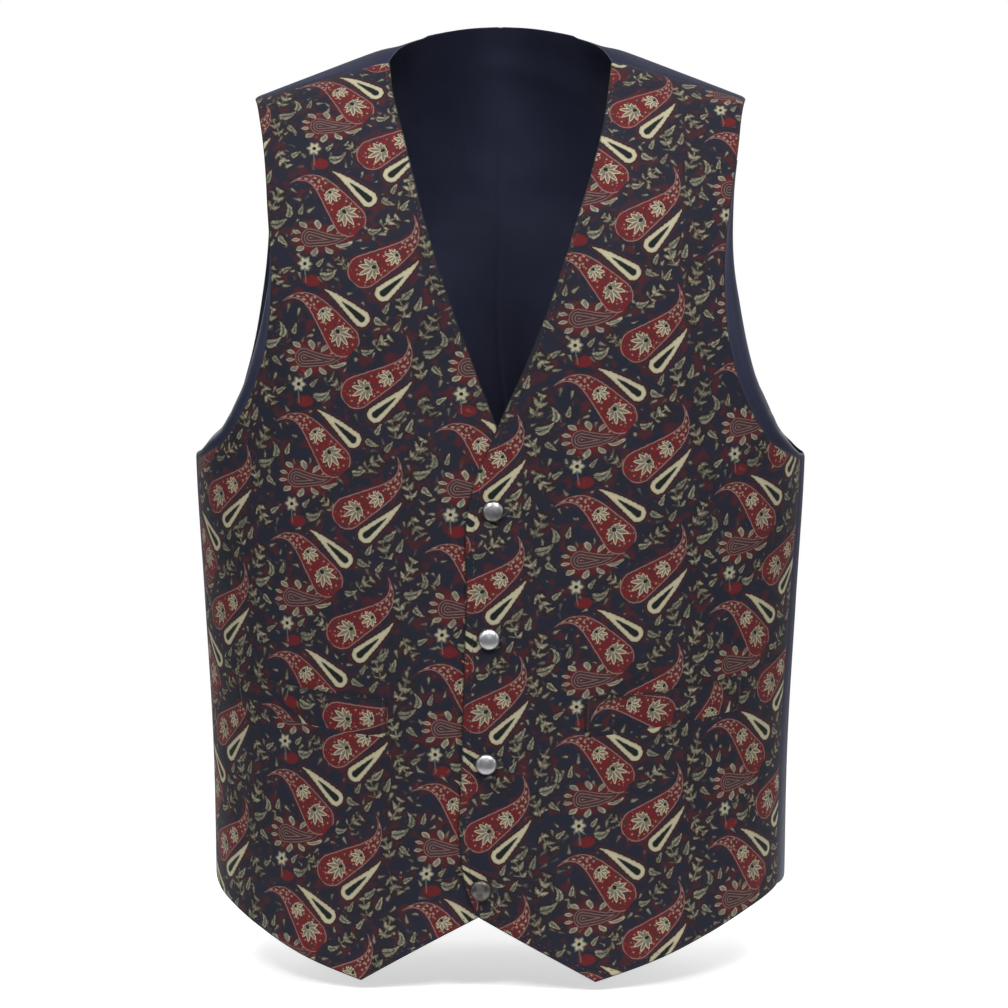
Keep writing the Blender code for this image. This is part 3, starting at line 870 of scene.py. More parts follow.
def large_drop_layers(place, look):
    """The two large drops, each with its flowers and its pale side drop, as masks and colours."""
    shape = LARGE_DROP
    from_first = from_repeat(place, shape["first"])
    from_second = from_repeat(place, shape["second"])
    second = from_second.length().below(from_first.length())
    heading = second * (shape["first_heading"] - shape["second_heading"]) - shape["first_heading"]
    local = second.choose(from_first, from_second).turned(heading).vector("ADD", shape["middle"])
    curl = (local.length() / shape["curl_reach"]) ** 6 * -shape["curl"]
    uncurled = local.turned(curl)
    x, y = uncurled.parts()
    body = drop_distance(x, y, shape)
    in_body = body.inside(0.3)
    # Flowers, larger in the round end, with the longest petals towards it
    bloom = FLOWERS
    further = (bloom["first"] + bloom["step"] * 0.55 - x).below(0.0)
    flower_x = x - further * bloom["step"] - bloom["first"]
    flower_y = y - bloom["side"]
    size = further * (bloom["second_size"] - bloom["first_size"]) + bloom["first_size"]
    angle = y.maths("ARCTAN2", flower_y, flower_x)
    petal = y.maths("PINGPONG", angle * (bloom["petals"] / (2 * np.pi)), 0.5) * 2
    full = 0.66 - y.maths("COSINE", angle) * 0.34
    from_heart = flower_x.with_y(flower_y).length()
    reach = (from_heart / size / full).at_most(1.0)
    in_row = (x - bloom["row_end"]).below(0.0) * (body + 0.9).inside(0.25)
    blade = from_heart * petal * (np.pi / bloom["petals"]) - (reach - reach * reach) * size * 0.60
    flower = blade.inside(0.25) * (reach - 0.97).inside(0.03) * in_row
    hollow = (blade + 0.62).inside(0.25) * in_row
    heart = ((flower_x - 0.5).with_y(flower_y * 1.3).length() - size * 0.15).inside(0.25) * in_row
    mottle = place.noise(0.30, 2.0).between(0.43, 0.63) * (body + 0.6).inside(0.3)
    # Dots up the tail and flecks in the red
    dot_x = x.maths("WRAP", x, 1.9, -1.9)
    dot_y = y.maths("WRAP", y + x * 0.30, 1.7, -1.7)
    in_tail = (shape["tail"] - x).below(0.0) * (body + 0.9).inside(0.2)
    dots = ((dot_x * 0.65).with_y(dot_y).length() - 0.72).inside(0.30) * in_tail
    fleck_cells = {"Vector": uncurled, "Scale": 0.36}
    fleck = (place.node("ShaderNodeTexVoronoi", None, fleck_cells) - 0.25).inside(0.08)
    fleck = fleck * (body + 1.4).inside(0.3)
    # The pale drop at its side
    beside = SIDE_DROP
    pale_local = uncurled.vector("SUBTRACT", beside["at"]).turned(-beside["heading"])
    pale_x, pale_y = pale_local.parts()
    scallop = pale_x.maths("SINE", pale_x * 1.9) * 0.11
    pale = drop_distance(pale_x, pale_y, beside) + scallop
    core = drop_distance(pale_x + 0.2, pale_y, SIDE_CORE)
    rim = (abs(pale + 0.45) - 0.20).inside(0.15)
    outline = (abs(body + 0.40) - 0.36).inside(0.16)
    patchy = place.noise(0.14, 1.0).between(0.36, 0.66)
    layers = [
        (body.between(3.6, 0.6) * patchy * 0.60, look.deep_red),
        (pale.between(2.8, 1.2) * 0.70, look.deep_red),
        (pale.between(1.3, 0.9) * 0.75, look.dark),
        (in_body, look.red),
        (x.between(22.0, 46.0) * in_body * 0.60, look.ground_red),
        (mottle * 0.75, look.ground_red),
        (fleck * 0.80, look.pink),
        (flower, look.cream),
        (hollow * 0.75, look.leaf),
        (hollow * 0.35, look.deep_red),
        (heart, look.dark),
        (dots, look.pink),
        (outline, look.outline),
        (pale.inside(0.3), look.cream),
        (rim * 0.45, look.leaf),
        ((core - 0.5).inside(0.3) * 0.5, look.leaf),
        (core.inside(0.3), look.dark),
    ]
    return layers, body.at_most(pale)


def small_drop_layers(place, look):
    """The small lying drop with its ring of leaves, as masks and colours."""
    shape = SMALL_DROP
    local = from_repeat(place, shape["at"]).turned(-shape["heading"])
    curl = (local.length() / shape["curl_reach"]) ** 3 * -shape["curl"]
    x, y = local.turned(curl).parts()
    body = drop_distance(x, y, shape)
    lines = (x.maths("PINGPONG", body + 0.5, 0.95) - 0.32).inside(0.16) * body.inside(0.2)
    angle = y.maths("ARCTAN2", y * 1.9, x - 7.0)
    sideways = x.maths("WRAP", angle * (shape["leaves"] / (2 * np.pi)), 0.5, -0.5) * 6.4
    outwards = (body - 3.5) / 3.1
    glow = place.noise(0.22, 1.0).between(0.36, 0.62)
    leaf = abs(sideways) - (1 - outwards * outwards) * 1.45
    return [
        (body.between(7.5, 3.0) * 0.75, look.deep_red),
        (body.between(4.2, 0.8) * glow * 0.75, look.red),
        (body.inside(0.25), look.ground_red),
        (lines * 0.75, look.outline),
        (leaf.inside(0.3) * (glow * 0.45 + 0.45), look.cream),
        ((leaf + 0.55).inside(0.3) * 0.90, look.leaf),
    ]


def star_layers(place, look):
    """A six-pointed flower on its stem, with a red berry, as masks and colours."""
    shape = STAR
    local = from_repeat(place, shape["at"])
    x, y = local.parts()
    angle = y.maths("ARCTAN2", y, x)
    petal = y.maths("PINGPONG", angle * (shape["points"] / (2 * np.pi)), 0.5) * 2
    star = local.length() - (1 - petal * shape["notch"]) * shape["radius"]
    centre = local.length() - shape["heart"]
    stem = abs(x + (y + 4.0) * 0.15) - 0.4
    stem = stem.inside(0.2) * (abs(y + 8.0) - 4.5).inside(0.2)
    berry = (x - 5.0).with_y((y + 11.0) * 1.6).length() - shape["berry"]
    return [
        (berry.inside(0.9) * 0.85, look.red),
        (stem * 0.8, look.leaf),
        (star.inside(0.3) * 0.9, look.leaf),
        ((star + 1.1).inside(0.3) * 0.8, look.cream),
        (centre.inside(0.3), look.dark),
    ]


def sprig_layers(place, look):
    """Small leaves, buds and hooks between the drops, as masks and colours."""
    nearest, best, ways = None, None, None
    for i in range(len(SPRIGS["x"])):
        local = from_repeat(place, (SPRIGS["x"][i], SPRIGS["y"][i], -0.5 * SPRIGS["leaves"][i]))
        way = Vector((-np.radians(SPRIGS["slant"][i]), SPRIGS["length"][i], SPRIGS["bend"][i]))
        away = local.length()
        if best is None:
            nearest, best, ways = local, away, way
            continue
        closer = away.below(best)
        nearest = closer.choose(nearest, local)
        ways = closer.choose(ways, way)
        best = away.at_most(best)
    slant, length, bend = ways.parts(3)
    x, y, depth = nearest.turned(slant).parts(3)
    branched = (0.25 - depth).below(0.0)
    x = x / length + 0.42
    y = y / length
    y = y + bend * (x * x - x * 0.5) * -0.9
    single = drop_distance(x, y, LEAF)
    # A stem with pairs of leaves along it
    along = x.maths("WRAP", x - 0.02, 0.24, -0.24) + 0.18
    off = abs(y)
    leaf_x = along * 0.66 + off * 0.75 - 0.12
    leaf_y = off * 0.66 - along * 0.75
    paired = drop_distance(leaf_x, leaf_y, PAIRED_LEAF)
    paired = paired.at_least(abs(x - 0.40) - 0.50).at_most((off - 0.016).at_least(abs(x - 0.35) - 0.55))
    leaf = single + (paired - single) * branched
    vein = (abs(y) - 0.035).inside(0.02) * x.between(0.62, 0.42) * (1.0 - branched)
    uneven = place.noise(0.55, 2.0).between(0.36, 0.64)
    patch = place.noise(0.07, 1.0).between(0.36, 0.62)
    return [
        (leaf.between(0.40, 0.10) * uneven * 0.40, look.deep_red),
        (leaf.between(0.26, 0.05) * 0.60, look.dark),
        (leaf.inside(0.06) * (uneven * 0.55 + 0.30) * (patch * 0.50 + 0.58), look.cream),
        ((leaf + 0.075).inside(0.05) * (patch * 0.30 + 0.55), look.leaf),
        (vein * 0.85, look.dark),
    ]


def bud_layers(place, look, clear):
    """Small scattered buds, only where clear, the distance from the large drops, leaves room for them."""
    cells = {"Vector": place, "Scale": 1 / BUD["spacing"]}
    spread = place.node("ShaderNodeTexVoronoi", None, cells, 2)
    turn, growth, kept = spread.also(1).parts(3)
    size = growth * 0.6 + 0.75
    x, y = place.vector("SUBTRACT", spread).turned(turn * (2 * np.pi)).parts()
    x = x / size + 1.4
    y = y / size
    bud = drop_distance(x, y, BUD)
    room = clear.between(2.6, 3.4) * kept.between(0.40, 0.85)
    return [
        (bud.between(2.4, 0.6) * room * 0.30, look.deep_red),
        (bud.between(1.4, 0.3) * room * 0.55, look.dark),
        (bud.inside(0.40) * room * 0.75, look.leaf),
        ((bud + 0.45).inside(0.3) * room * 0.40, look.cream),
    ]


def weave(place, across, down):
    """Height of a plain weave: -1 to 1, from the place in millimetres and the two thread spacings."""
    x, y = place.parts()
    warp = x.maths("SINE", x * (2 * np.pi / across))
    weft = y.maths("SINE", y * (2 * np.pi / down))
    return warp * weft


def cloth_place(field):
    """The place on the flat cloth, in millimetres."""
    return field.node("ShaderNodeUVMap", {"uv_map": "Cloth"}).scaled(MILLIMETRES)


def object_place(field):
    """The place in the object's frame, in millimetres."""
    return field.node("ShaderNodeTexCoord", None, None, 3).scaled(MILLIMETRES)


def attribute(field, name):
    """A number that each vertex of a mesh carries."""
    return field.node("ShaderNodeAttribute", {"attribute_name": name}, None, 2)


def bumped(height, strength, distance):
    """A normal that leans with a height."""
    return height.node("ShaderNodeBump", None, {"Strength": strength, "Distance": distance, "Height": height})


def unsteady(place, flat, scale, reach):
    """A place pushed about by noise on the flat cloth, as in a hand-cut print."""
    push = flat.noise(scale, 1.0, colour=True).vector("SUBTRACT", (0.5, 0.5, 0.5)).scaled(reach)
    return place.vector("ADD", push)


def paisley_material(name, look):
    """The printed cloth of the fronts and welts."""
    material, field, shader = new_material(name)
    flat = cloth_place(field)
    place = unsteady(flat, flat, 0.45, 0.85)
    frayed = unsteady(place, flat, 0.9, 0.8)
    blot = flat.noise(0.10, 1.0).between(0.50, 0.70)
    colour = flat.noise(0.018, 2.0).paint(look.ground_low, look.ground)
    drops, clear = large_drop_layers(place, look)
    layers = [(blot * 0.75, look.deep_red)]
    layers += bud_layers(frayed, look, clear)
    layers += small_drop_layers(place, look)
    layers += star_layers(place, look)
    layers += sprig_layers(frayed, look)
    layers += drops
    for mask, ink in layers:
        colour = mask.paint(colour, ink)
    threads = weave(flat, 0.9, 0.8)
    grain = flat.noise(1.6, 3.0)
    # Painted shade and highlight: the weave's height lightens the raised threads and darkens the dips. The
    # grain adds random tone.
    value = threads * 0.07 + grain.between(0.3, 0.7, -0.10, 0.10) + 1.0
    weave_shade_and_grain = value.node("ShaderNodeCombineXYZ", None, dict.fromkeys(range(3), value))
    colour = colour.vector("MULTIPLY", weave_shade_and_grain)
    edge = attribute(field, "edge")
    worn = edge.between(0.0016, 0.0) * grain.between(0.44, 0.66)
    # Painted shade: a dark line along the cut edges, wider at the welts' mouths.
    colour = (edge.between(0.0015, 0.0002) * 0.80).paint(colour, look.dark)
    colour = (worn * 0.06).paint(colour, look.worn)
    feed(shader, Base_Color=colour, Roughness=grain.between(0.25, 0.75, 0.66, 0.86))
    bump = bumped(threads * 0.5 + grain * 0.7, 0.30, 0.0003)
    feed(shader, Normal=bump, Sheen_Weight=0.03, Sheen_Roughness=0.5, Specular_IOR_Level=0.12)
    return material


def satin_material(name, look):
    """The plain satin of the back and of the linings."""
    material, field, shader = new_material(name)
    flat = cloth_place(field)
    streak = flat.vector("MULTIPLY", (1.3, 0.09, 1.0)).noise(1.0, 3.0)
    cloud = flat.noise(0.03, 2.0)
    mottle = streak.between(0.25, 0.75) * 0.45 + cloud.between(0.3, 0.7) * 0.55
    colour = mottle.paint(look.satin_low, look.satin)
    edge = attribute(field, "edge")
    colour = (edge.between(0.0022, 0.0) * 0.30).paint(colour, look.satin_edge)
    feed(shader, Base_Color=colour, Roughness=streak.between(0.2, 0.8, 0.40, 0.54))
    across = flat.parts()[0]
    ribs = across.maths("SINE", across * (2 * np.pi / 0.55))
    bump = bumped(ribs * 0.25 + streak * 0.9, 0.22, 0.0003)
    feed(shader, Normal=bump, Sheen_Weight=0.02, Sheen_Roughness=0.35, Specular_IOR_Level=0.17)
    return material


def metal_material(name, look):
    """The turned metal of the buttons, darker in random clouds, with painted shade that darkens each button
    by its own amount and the dome towards its rim.
    """
    material, field, shader = new_material(name)
    place = field.node("ShaderNodeUVMap", {"uv_map": "Turned"})
    from_middle = place.parts()[1]
    rings = place.vector("MULTIPLY", (1.0, 9.0, 1.0)).noise(1.0, 2.0)
    cloud = object_place(field).noise(0.22, 2.0)
    painted_shade = attribute(field, "painted_shade")
    # Painted shade darkens each button by its own amount and the dome towards its rim. The cloud is random
    # tone.
    shade_and_cloud = painted_shade * 0.85 + cloud.between(0.40, 0.72) * 0.25 + from_middle.between(0.70, 1.0) * 0.45
    shade_and_cloud = shade_and_cloud.at_most(1.0)
    colour = shade_and_cloud.paint(look.metal, look.metal_shade_and_cloud)
    rough = rings.between(0.25, 0.75, 0.30, 0.40) + painted_shade * 0.06
    feed(shader, Base_Color=colour, Metallic=1.0, Roughness=rough, Normal=bumped(rings, 0.08, 0.0002))
    return material


def thread_material(name, look):
    """The sewing thread of the edges and buttonholes."""
    material, field, shader = new_material(name)
    twist = object_place(field).noise(2.2, 2.0)
    rough = twist.between(0.3, 0.7, 0.55, 0.75)
    feed(shader, Base_Color=twist.paint(look.dark, look.thread), Roughness=rough)
    feed(shader, Normal=bumped(twist, 0.3, 0.0002), Sheen_Weight=0.2)
    return material


def floor_material(look, radius, glow):
    """The pale floor, which fades into the backdrop."""
    material, field, shader = new_material("pale_floor")
    place = field.node("ShaderNodeTexCoord", None, None, 3)
    mottle = place.noise(2.0, 3.0)
    low = tuple(channel * 0.985 for channel in look.floor[:3]) + (1.0,)
    from_middle = place.vector("SUBTRACT", (0.0, radius * 0.30, 0.0))
    from_middle = from_middle.vector("MULTIPLY", (1.0, 1.0, 0.0))
    fade = from_middle.length().between(radius, radius * 0.4)
    rough = mottle.between(0.3, 0.7, 0.75, 0.85)
    feed(shader, Base_Color=mottle.paint(low, look.floor), Roughness=rough, Alpha=fade)
    # Painted light: the floor glows, most of all under the garment, where the glow lifts the garment's
    # shadow.
    below = from_middle.vector("ADD", (0.0, radius * 0.20, 0.0)).length().between(0.42, 0.12)
    light = below.paint((0.55, 0.55, 0.55, 1.0), (1.0, 1.0, 1.0, 1.0))
    feed(shader, Emission_Color=light, Emission_Strength=glow)
    return material


class Look:
    """The colours of the scene's property groups, each with a full alpha."""

    def __init__(self, scene):
        for group in (scene.waistcoat_print, scene.waistcoat_plain, scene.waistcoat_stage):
            for name in group.__annotations__:
                value = getattr(group, name)
                if hasattr(value, "__len__"):
                    setattr(self, name, (*value, 1.0))


FINISHES = {
    "paisley_print": paisley_material,
    "navy_satin_cloth": satin_material,
    "brushed_metal": metal_material,
    "sewing_thread": thread_material,
}


def finish(context, name):
    """The material of that name, made the first time that a piece needs it."""
    return bpy.data.materials.get(name) or FINISHES[name](name, Look(context.scene))


def colour_property(name, description, default):
    """A colour that a user may change."""
    return FloatVectorProperty(
        name=name, description=description, default=default, subtype="COLOR", size=3, min=0.0, max=1.0
    )


def length_property(name, description, default, most):
    """A length that a user may change."""
    return FloatProperty(
        name=name, description=description, default=default, min=0.0, max=most, unit="LENGTH"
    )


def strength_property(name, description, default):
    """A strength of light that a user may change."""
    return FloatProperty(name=name, description=description, default=default, min=0.0)


class WaistcoatCloth(bpy.types.PropertyGroup):
    """Sizes of the cloth."""

    front_wall: length_property("Front wall", "Thickness of a lined front", 0.0020, 0.004)
    back_wall: length_property("Back wall", "Thickness of the lined back", 0.0012, 0.004)
    welt_wall: length_property("Welt wall", "Thickness of a pocket welt", 0.0013, 0.003)
    band_wall: length_property("Band wall", "Thickness of an armhole band", 0.0009, 0.003)
    edge_width: length_property("Edge width", "How far from an edge the cloth rolls over", 0.0032, 0.01)
    edge_roll: length_property("Edge roll", "How far the outer face turns in at an edge", 0.0007, 0.002)
    edge_share: FloatProperty(
        name="Edge share",
        description="Share of the wall left at a pressed edge",
        default=0.45,
        min=0.2,
        max=1.0,
        subtype="FACTOR",
    )
    stitch_length: length_property("Stitch length", "Length of an edge stitch", 0.0022, 0.01)
    stitch_width: length_property("Stitch width", "Thickness of the sewing thread", 0.00045, 0.002)
    stitch_step: length_property("Stitch step", "Distance from stitch to stitch", 0.0042, 0.02)


class WaistcoatPrint(bpy.types.PropertyGroup):
    """Colours of the printed cloth."""

    ground: colour_property("Ground", "Navy ground of the print", (0.0144, 0.0176, 0.0308))
    ground_low: colour_property("Dark ground", "Darker places of the ground", (0.0097, 0.0118, 0.0195))
    ground_red: colour_property("Red ground", "Ground inside the small drops", (0.040, 0.020, 0.022))
    red: colour_property("Red", "Red of the large drops", (0.117, 0.0104, 0.0122))
    deep_red: colour_property("Deep red", "Blurred red round the motifs", (0.060, 0.0122, 0.0145))
    cream: colour_property("Cream", "Cream of the flowers and side drops", (0.380, 0.342, 0.232))
    leaf: colour_property("Leaf", "Grey green of the leaves", (0.100, 0.112, 0.092))
    pink: colour_property("Pink", "Pink dots and flecks in the red", (0.280, 0.165, 0.125))
    outline: colour_property("Outline", "Taupe of the thin lines", (0.185, 0.110, 0.098))
    # Also laid along the printed cloth's cut edges as a painted shade line.
    dark: colour_property("Dark", "Dark hearts of the motifs", (0.008, 0.011, 0.010))
    worn: colour_property("Worn", "Cloth rubbed pale along its edges", (0.10, 0.09, 0.095))


class WaistcoatPlain(bpy.types.PropertyGroup):
    """Colours of the satin, the thread and the metal."""

    satin: colour_property("Satin", "Navy satin of the back and linings", (0.0230, 0.0260, 0.0515))
    satin_low: colour_property("Dark satin", "Darker streaks of the satin", (0.0165, 0.0185, 0.0385))
    satin_edge: colour_property("Satin edge", "Satin rubbed pale along its edges", (0.050, 0.050, 0.078))
    thread: colour_property("Thread", "Sewing thread", (0.018, 0.019, 0.028))
    metal: colour_property("Metal", "Bright metal of the buttons", (0.60, 0.60, 0.63))
    # The dark metal colour, laid in random clouds, and as painted shade on each button and towards its rim.
    metal_shade_and_cloud: colour_property("Dull metal", "Tarnished metal of the buttons", (0.095, 0.082, 0.078))


class WaistcoatButtons(bpy.types.PropertyGroup):
    """Sizes of the buttons."""

    radius: length_property("Radius", "Radius of a button", 0.0072, 0.02)
    dome: length_property("Dome", "Height of a button's dome above its rim", 0.0036, 0.01)
    rim: length_property("Rim", "Height of a button's rim", 0.0012, 0.005)


class WaistcoatStage(bpy.types.PropertyGroup):
    """Floor and lights."""

    floor: colour_property("Floor", "Pale floor", (0.82, 0.82, 0.82))
    floor_height: FloatProperty(
        name="Floor height",
        description="Height of the floor, just below the hem's points",
        default=-0.608,
        unit="LENGTH",
    )
    floor_radius: length_property("Floor radius", "Where the floor has faded into the backdrop", 0.95, 10.0)
    floor_glow: strength_property("Floor glow", "Light that the floor gives itself", 0.60)
    surround: strength_property("Surround", "Strength of the light all round", 0.62)
    key: strength_property("Key", "Power that the lights share out, in watts", 6.1)


def button_seat(height):
    """The frame of a button on the left front, with Z out of the cloth and X towards the left side."""
    turn, rise = np.array([0.0]), np.array([height])
    seat = Vector(front_point(turn, rise, 1)[0])
    out = Vector(outward(turn, rise)[0])
    across = Vector((0, 0, 1)).cross(out).normalized()
    seat_frame = Matrix((across, out.cross(across), out)).transposed().to_4x4()
    seat_frame.translation = seat
    return seat_frame


def make_front(context, node, side):
    """One printed front with its satin lining."""
    cloth = context.scene.waistcoat_cloth
    corner = FRONT_ARMHOLE["turn"][0] / SIDE_SEAM
    columns = grid_line((0, corner, 1), FRONT_COLUMNS)
    nearest = np.argmin(np.abs(columns - POINT_TURN / SIDE_SEAM))
    columns[nearest] = POINT_TURN / SIDE_SEAM
    turn, rise = front_cut(columns, grid_line((0, 1, 2), FRONT_ROWS))
    turn = turn * side
    if side < 0:
        turn, rise = turn[::-1], rise[::-1]
    distance = edge_distance(front_point(turn, rise, side))
    points = front_point(turn, rise, side, -edge_turn_in(cloth, distance))
    place = print_place(node, turn, rise)
    finishes = [finish(context, "paisley_print"), finish(context, "navy_satin_cloth")]
    piece = sheet_piece(f"printed_{node}", points, place, distance, cloth.edge_width, finishes)
    give_wall(piece, cloth.front_wall, cloth.edge_share, lining=True)
    settle(piece, node)
    return piece


def make_back(context):
    """The satin back, from one side seam round to the other and over both shoulders."""
    cloth = context.scene.waistcoat_cloth
    corner = BACK_ARMHOLE["turn"][0] / (180.0 - SIDE_SEAM)
    neck_corner = corner * NECK_CORNER / shoulder_tip()
    half = grid_line((0, neck_corner, corner, 1), BACK_COLUMNS)
    near_dart = np.concatenate([-EDGE_STEPS[:0:-1], EDGE_STEPS]) / DEGREE_ON_CLOTH
    half = np.sort(np.concatenate([half, (BACK_SEAM["dart"] + near_dart) / (180.0 - SIDE_SEAM)]))
    columns = np.concatenate([-half[:0:-1], half])
    turn, rise = back_cut(columns, grid_line((0, 1, 2, 3), BACK_ROWS))
    base = back_point(turn, rise)
    distance = edge_distance(base)
    points = base - outward(turn, rise) * edge_turn_in(cloth, distance)[..., None]
    place = flat_place(turn, rise)
    finishes = [finish(context, "navy_satin_cloth")]
    piece = sheet_piece("satin_back", points, place, distance, cloth.edge_width, finishes)
    give_wall(piece, cloth.back_wall, cloth.edge_share, lining=False)
    settle(piece, "back")
    return piece


def welt_lift(cloth, up):
    """How far a welt's outer face stands off its front, from little at its sewn foot to most at its mouth."""
    return (SEAM_GAP + cloth.welt_wall) * (0.1 + 0.9 * smooth_step(0, 0.5, up))


def make_welt(context, node, side):
    """A folded pocket welt sewn to a front, printed like it."""
    cloth = context.scene.waistcoat_cloth
    along = crowded(0, 1, WELT_COLUMNS, WELT_LENGTH)
    turn, top, bottom = ((rows[0] + (rows[1] - rows[0]) * along)[:, None] for rows in WELT.values())
    up = crowded(0, 1, WELT_ROWS, WELT_WIDTH)
    rise = bottom + (top - bottom) * up
    # Painted shade: the distances for the dark edge line, counted nearer at the mouth so that its shade is
    # wider there, and left out along the sewn foot.
    from_mouth = (1 - up) * WELT_WIDTH * WELT_MOUTH
    from_end = np.minimum(along, 1 - along)[:, None] * WELT_LENGTH
    shade = np.minimum(from_mouth, from_end)
    turn = (turn + np.zeros_like(rise)) * side
    if side < 0:
        turn, rise, shade = turn[::-1], rise[::-1], shade[::-1]
    proud = welt_lift(cloth, up) + np.zeros_like(rise)
    distance = edge_distance(front_point(turn, rise, side, proud))
    points = front_point(turn, rise, side, proud - edge_turn_in(cloth, distance))
    place = print_place(node, turn, rise)
    finishes = [finish(context, "paisley_print")]
    piece = sheet_piece(f"printed_{node}", points, place, distance, cloth.edge_width, finishes, shade)
    give_wall(piece, cloth.welt_wall, cloth.edge_share, lining=False)
    settle(piece, node)
    return piece


def armhole_path():
    """Turn and rise down the wearer's left armhole, from the shoulder to the side seam."""
    corner = FRONT_ARMHOLE["turn"][0] / SIDE_SEAM
    strap = front_cut(np.array([corner]), np.linspace(2.0, 1.0, 2 * BAND_ROWS))
    under = front_cut(np.linspace(corner, 1.0, BAND_ROWS), np.array([1.0]))
    return (np.concatenate([high.ravel(), low.ravel()[1:]]) for high, low in zip(strap, under))


def make_band(context, name, side):
    """The narrow satin band that edges a front's armhole and rolls inwards."""
    cloth = context.scene.waistcoat_cloth
    turn, rise = armhole_path()
    edge = front_point(turn * side, rise, side)
    band, shape = BAND[side], BAND_SHAPE
    below_top = edge[:, 2] < band["top"]
    turn, rise, edge = turn[below_top] * side, rise[below_top], edge[below_top]
    stride = np.linalg.norm(np.diff(edge, axis=0), axis=1)
    down = np.concatenate([[0], np.cumsum(stride)])
    along = np.gradient(edge, axis=0)
    along /= np.linalg.norm(along, axis=-1, keepdims=True)
    out = outward(turn, rise)
    away = np.cross(out, along) * side
    grown = smooth_step(band["top"], band["full"], edge[:, 2])
    width = shape["start"] + (band["width"] - shape["start"]) * grown
    width += (BAND_END - width) * smooth_step(shape["narrows"], 1.0, down / down[-1])
    share = crowded(0, 1, BAND_COLUMNS, shape["stretch"])[:, None]
    roll = shape["crown"] * np.sin(np.pi * share) - shape["turn_in"] * share**3
    roll = roll * width / band["width"] - cloth.edge_roll
    points = edge + away * (share * width)[..., None] + out * roll[..., None]
    place = np.stack(np.broadcast_arrays(share * width, -down), axis=-1)
    points, place = points[::side, ::-1], place[::side, ::-1]
    distance = edge_distance(points)
    finishes = [finish(context, "navy_satin_cloth")]
    piece = sheet_piece(name, points, place, distance, cloth.edge_width / 4, finishes)
    give_wall(piece, cloth.band_wall, cloth.edge_share, lining=False, even=False)
    settle(piece, None)
    return piece


def button_profile(size):
    """Radius and height up a button, from the middle of its dome over the rim to its shank."""
    shape = BUTTON_SHAPE
    rim_top = BUTTON_LIFT + size.rim
    points = []
    for angle in np.linspace(0, np.pi / 2, shape["dome_points"]):
        up = size.dome * np.cos(angle) ** shape["crown"]
        points.append((size.radius * np.sin(angle) ** shape["shoulder"], rim_top + up))
    for angle in np.linspace(0, np.pi / 2, shape["under_points"])[1:]:
        inset = shape["foot"] + (1 - shape["foot"]) * np.cos(angle)
        points.append((size.radius * inset, rim_top - size.rim * np.sin(angle)))
    return [*points, (SHANK_RADIUS, BUTTON_LIFT), (SHANK_RADIUS, SHANK_END), (0.0, SHANK_END)]


def lathe(name, profile, steps, widest):
    """A closed mesh turned about Z from a profile that begins and ends on the axis.

    Its UVs are the share of a turn and the share of the widest radius.
    """
    vertices, rows = [], []
    for radius, height in profile:
        count = steps if radius > 0 else 1
        rows.append([len(vertices) + k % count for k in range(steps + 1)])
        for k in range(count):
            angle = 2 * np.pi * k / steps - np.pi
            vertices.append((radius * np.cos(angle), radius * np.sin(angle), height))
    faces, places = [], []
    for i in range(len(profile) - 1):
        (inner, outer), (upper, lower) = (profile[i][0], profile[i + 1][0]), rows[i : i + 2]
        for k in range(steps):
            corners = [(upper[k], k, inner), (lower[k], k, outer), (lower[k + 1], k + 1, outer)]
            corners.append((upper[k + 1], k + 1, inner))
            if inner == 0:
                corners = [(upper[k], k + 0.5, inner), *corners[1:3]]
            if outer == 0:
                corners = [corners[0], (lower[k], k + 0.5, outer), corners[3]]
            faces.append([vertex for vertex, turn, radius in corners])
            places += [(turn / steps - 0.5, radius / widest) for vertex, turn, radius in corners]
    mesh = bpy.data.meshes.new(name)
    mesh.from_pydata(vertices, [], faces)
    mesh.uv_layers.new(name="Turned").data.foreach_set("uv", np.ravel(places))
    mesh.shade_smooth()
    return mesh


def make_button(context, number, height, painted_shade):
    """A domed shank button, turned about its axis."""
    size = context.scene.waistcoat_buttons
    mesh = lathe(f"dome_button_{number}", button_profile(size), BUTTON_STEPS, size.radius)
    mesh.transform(button_seat(height))
    layer = mesh.attributes.new("painted_shade", "FLOAT", "POINT")
    layer.data.foreach_set("value", [painted_shade] * len(mesh.vertices))
    mesh.materials.append(finish(context, "brushed_metal"))
    piece = bpy.data.objects.new(mesh.name, mesh)
    bpy.context.scene.collection.objects.link(piece)
    settle(piece, f"button_{number}")


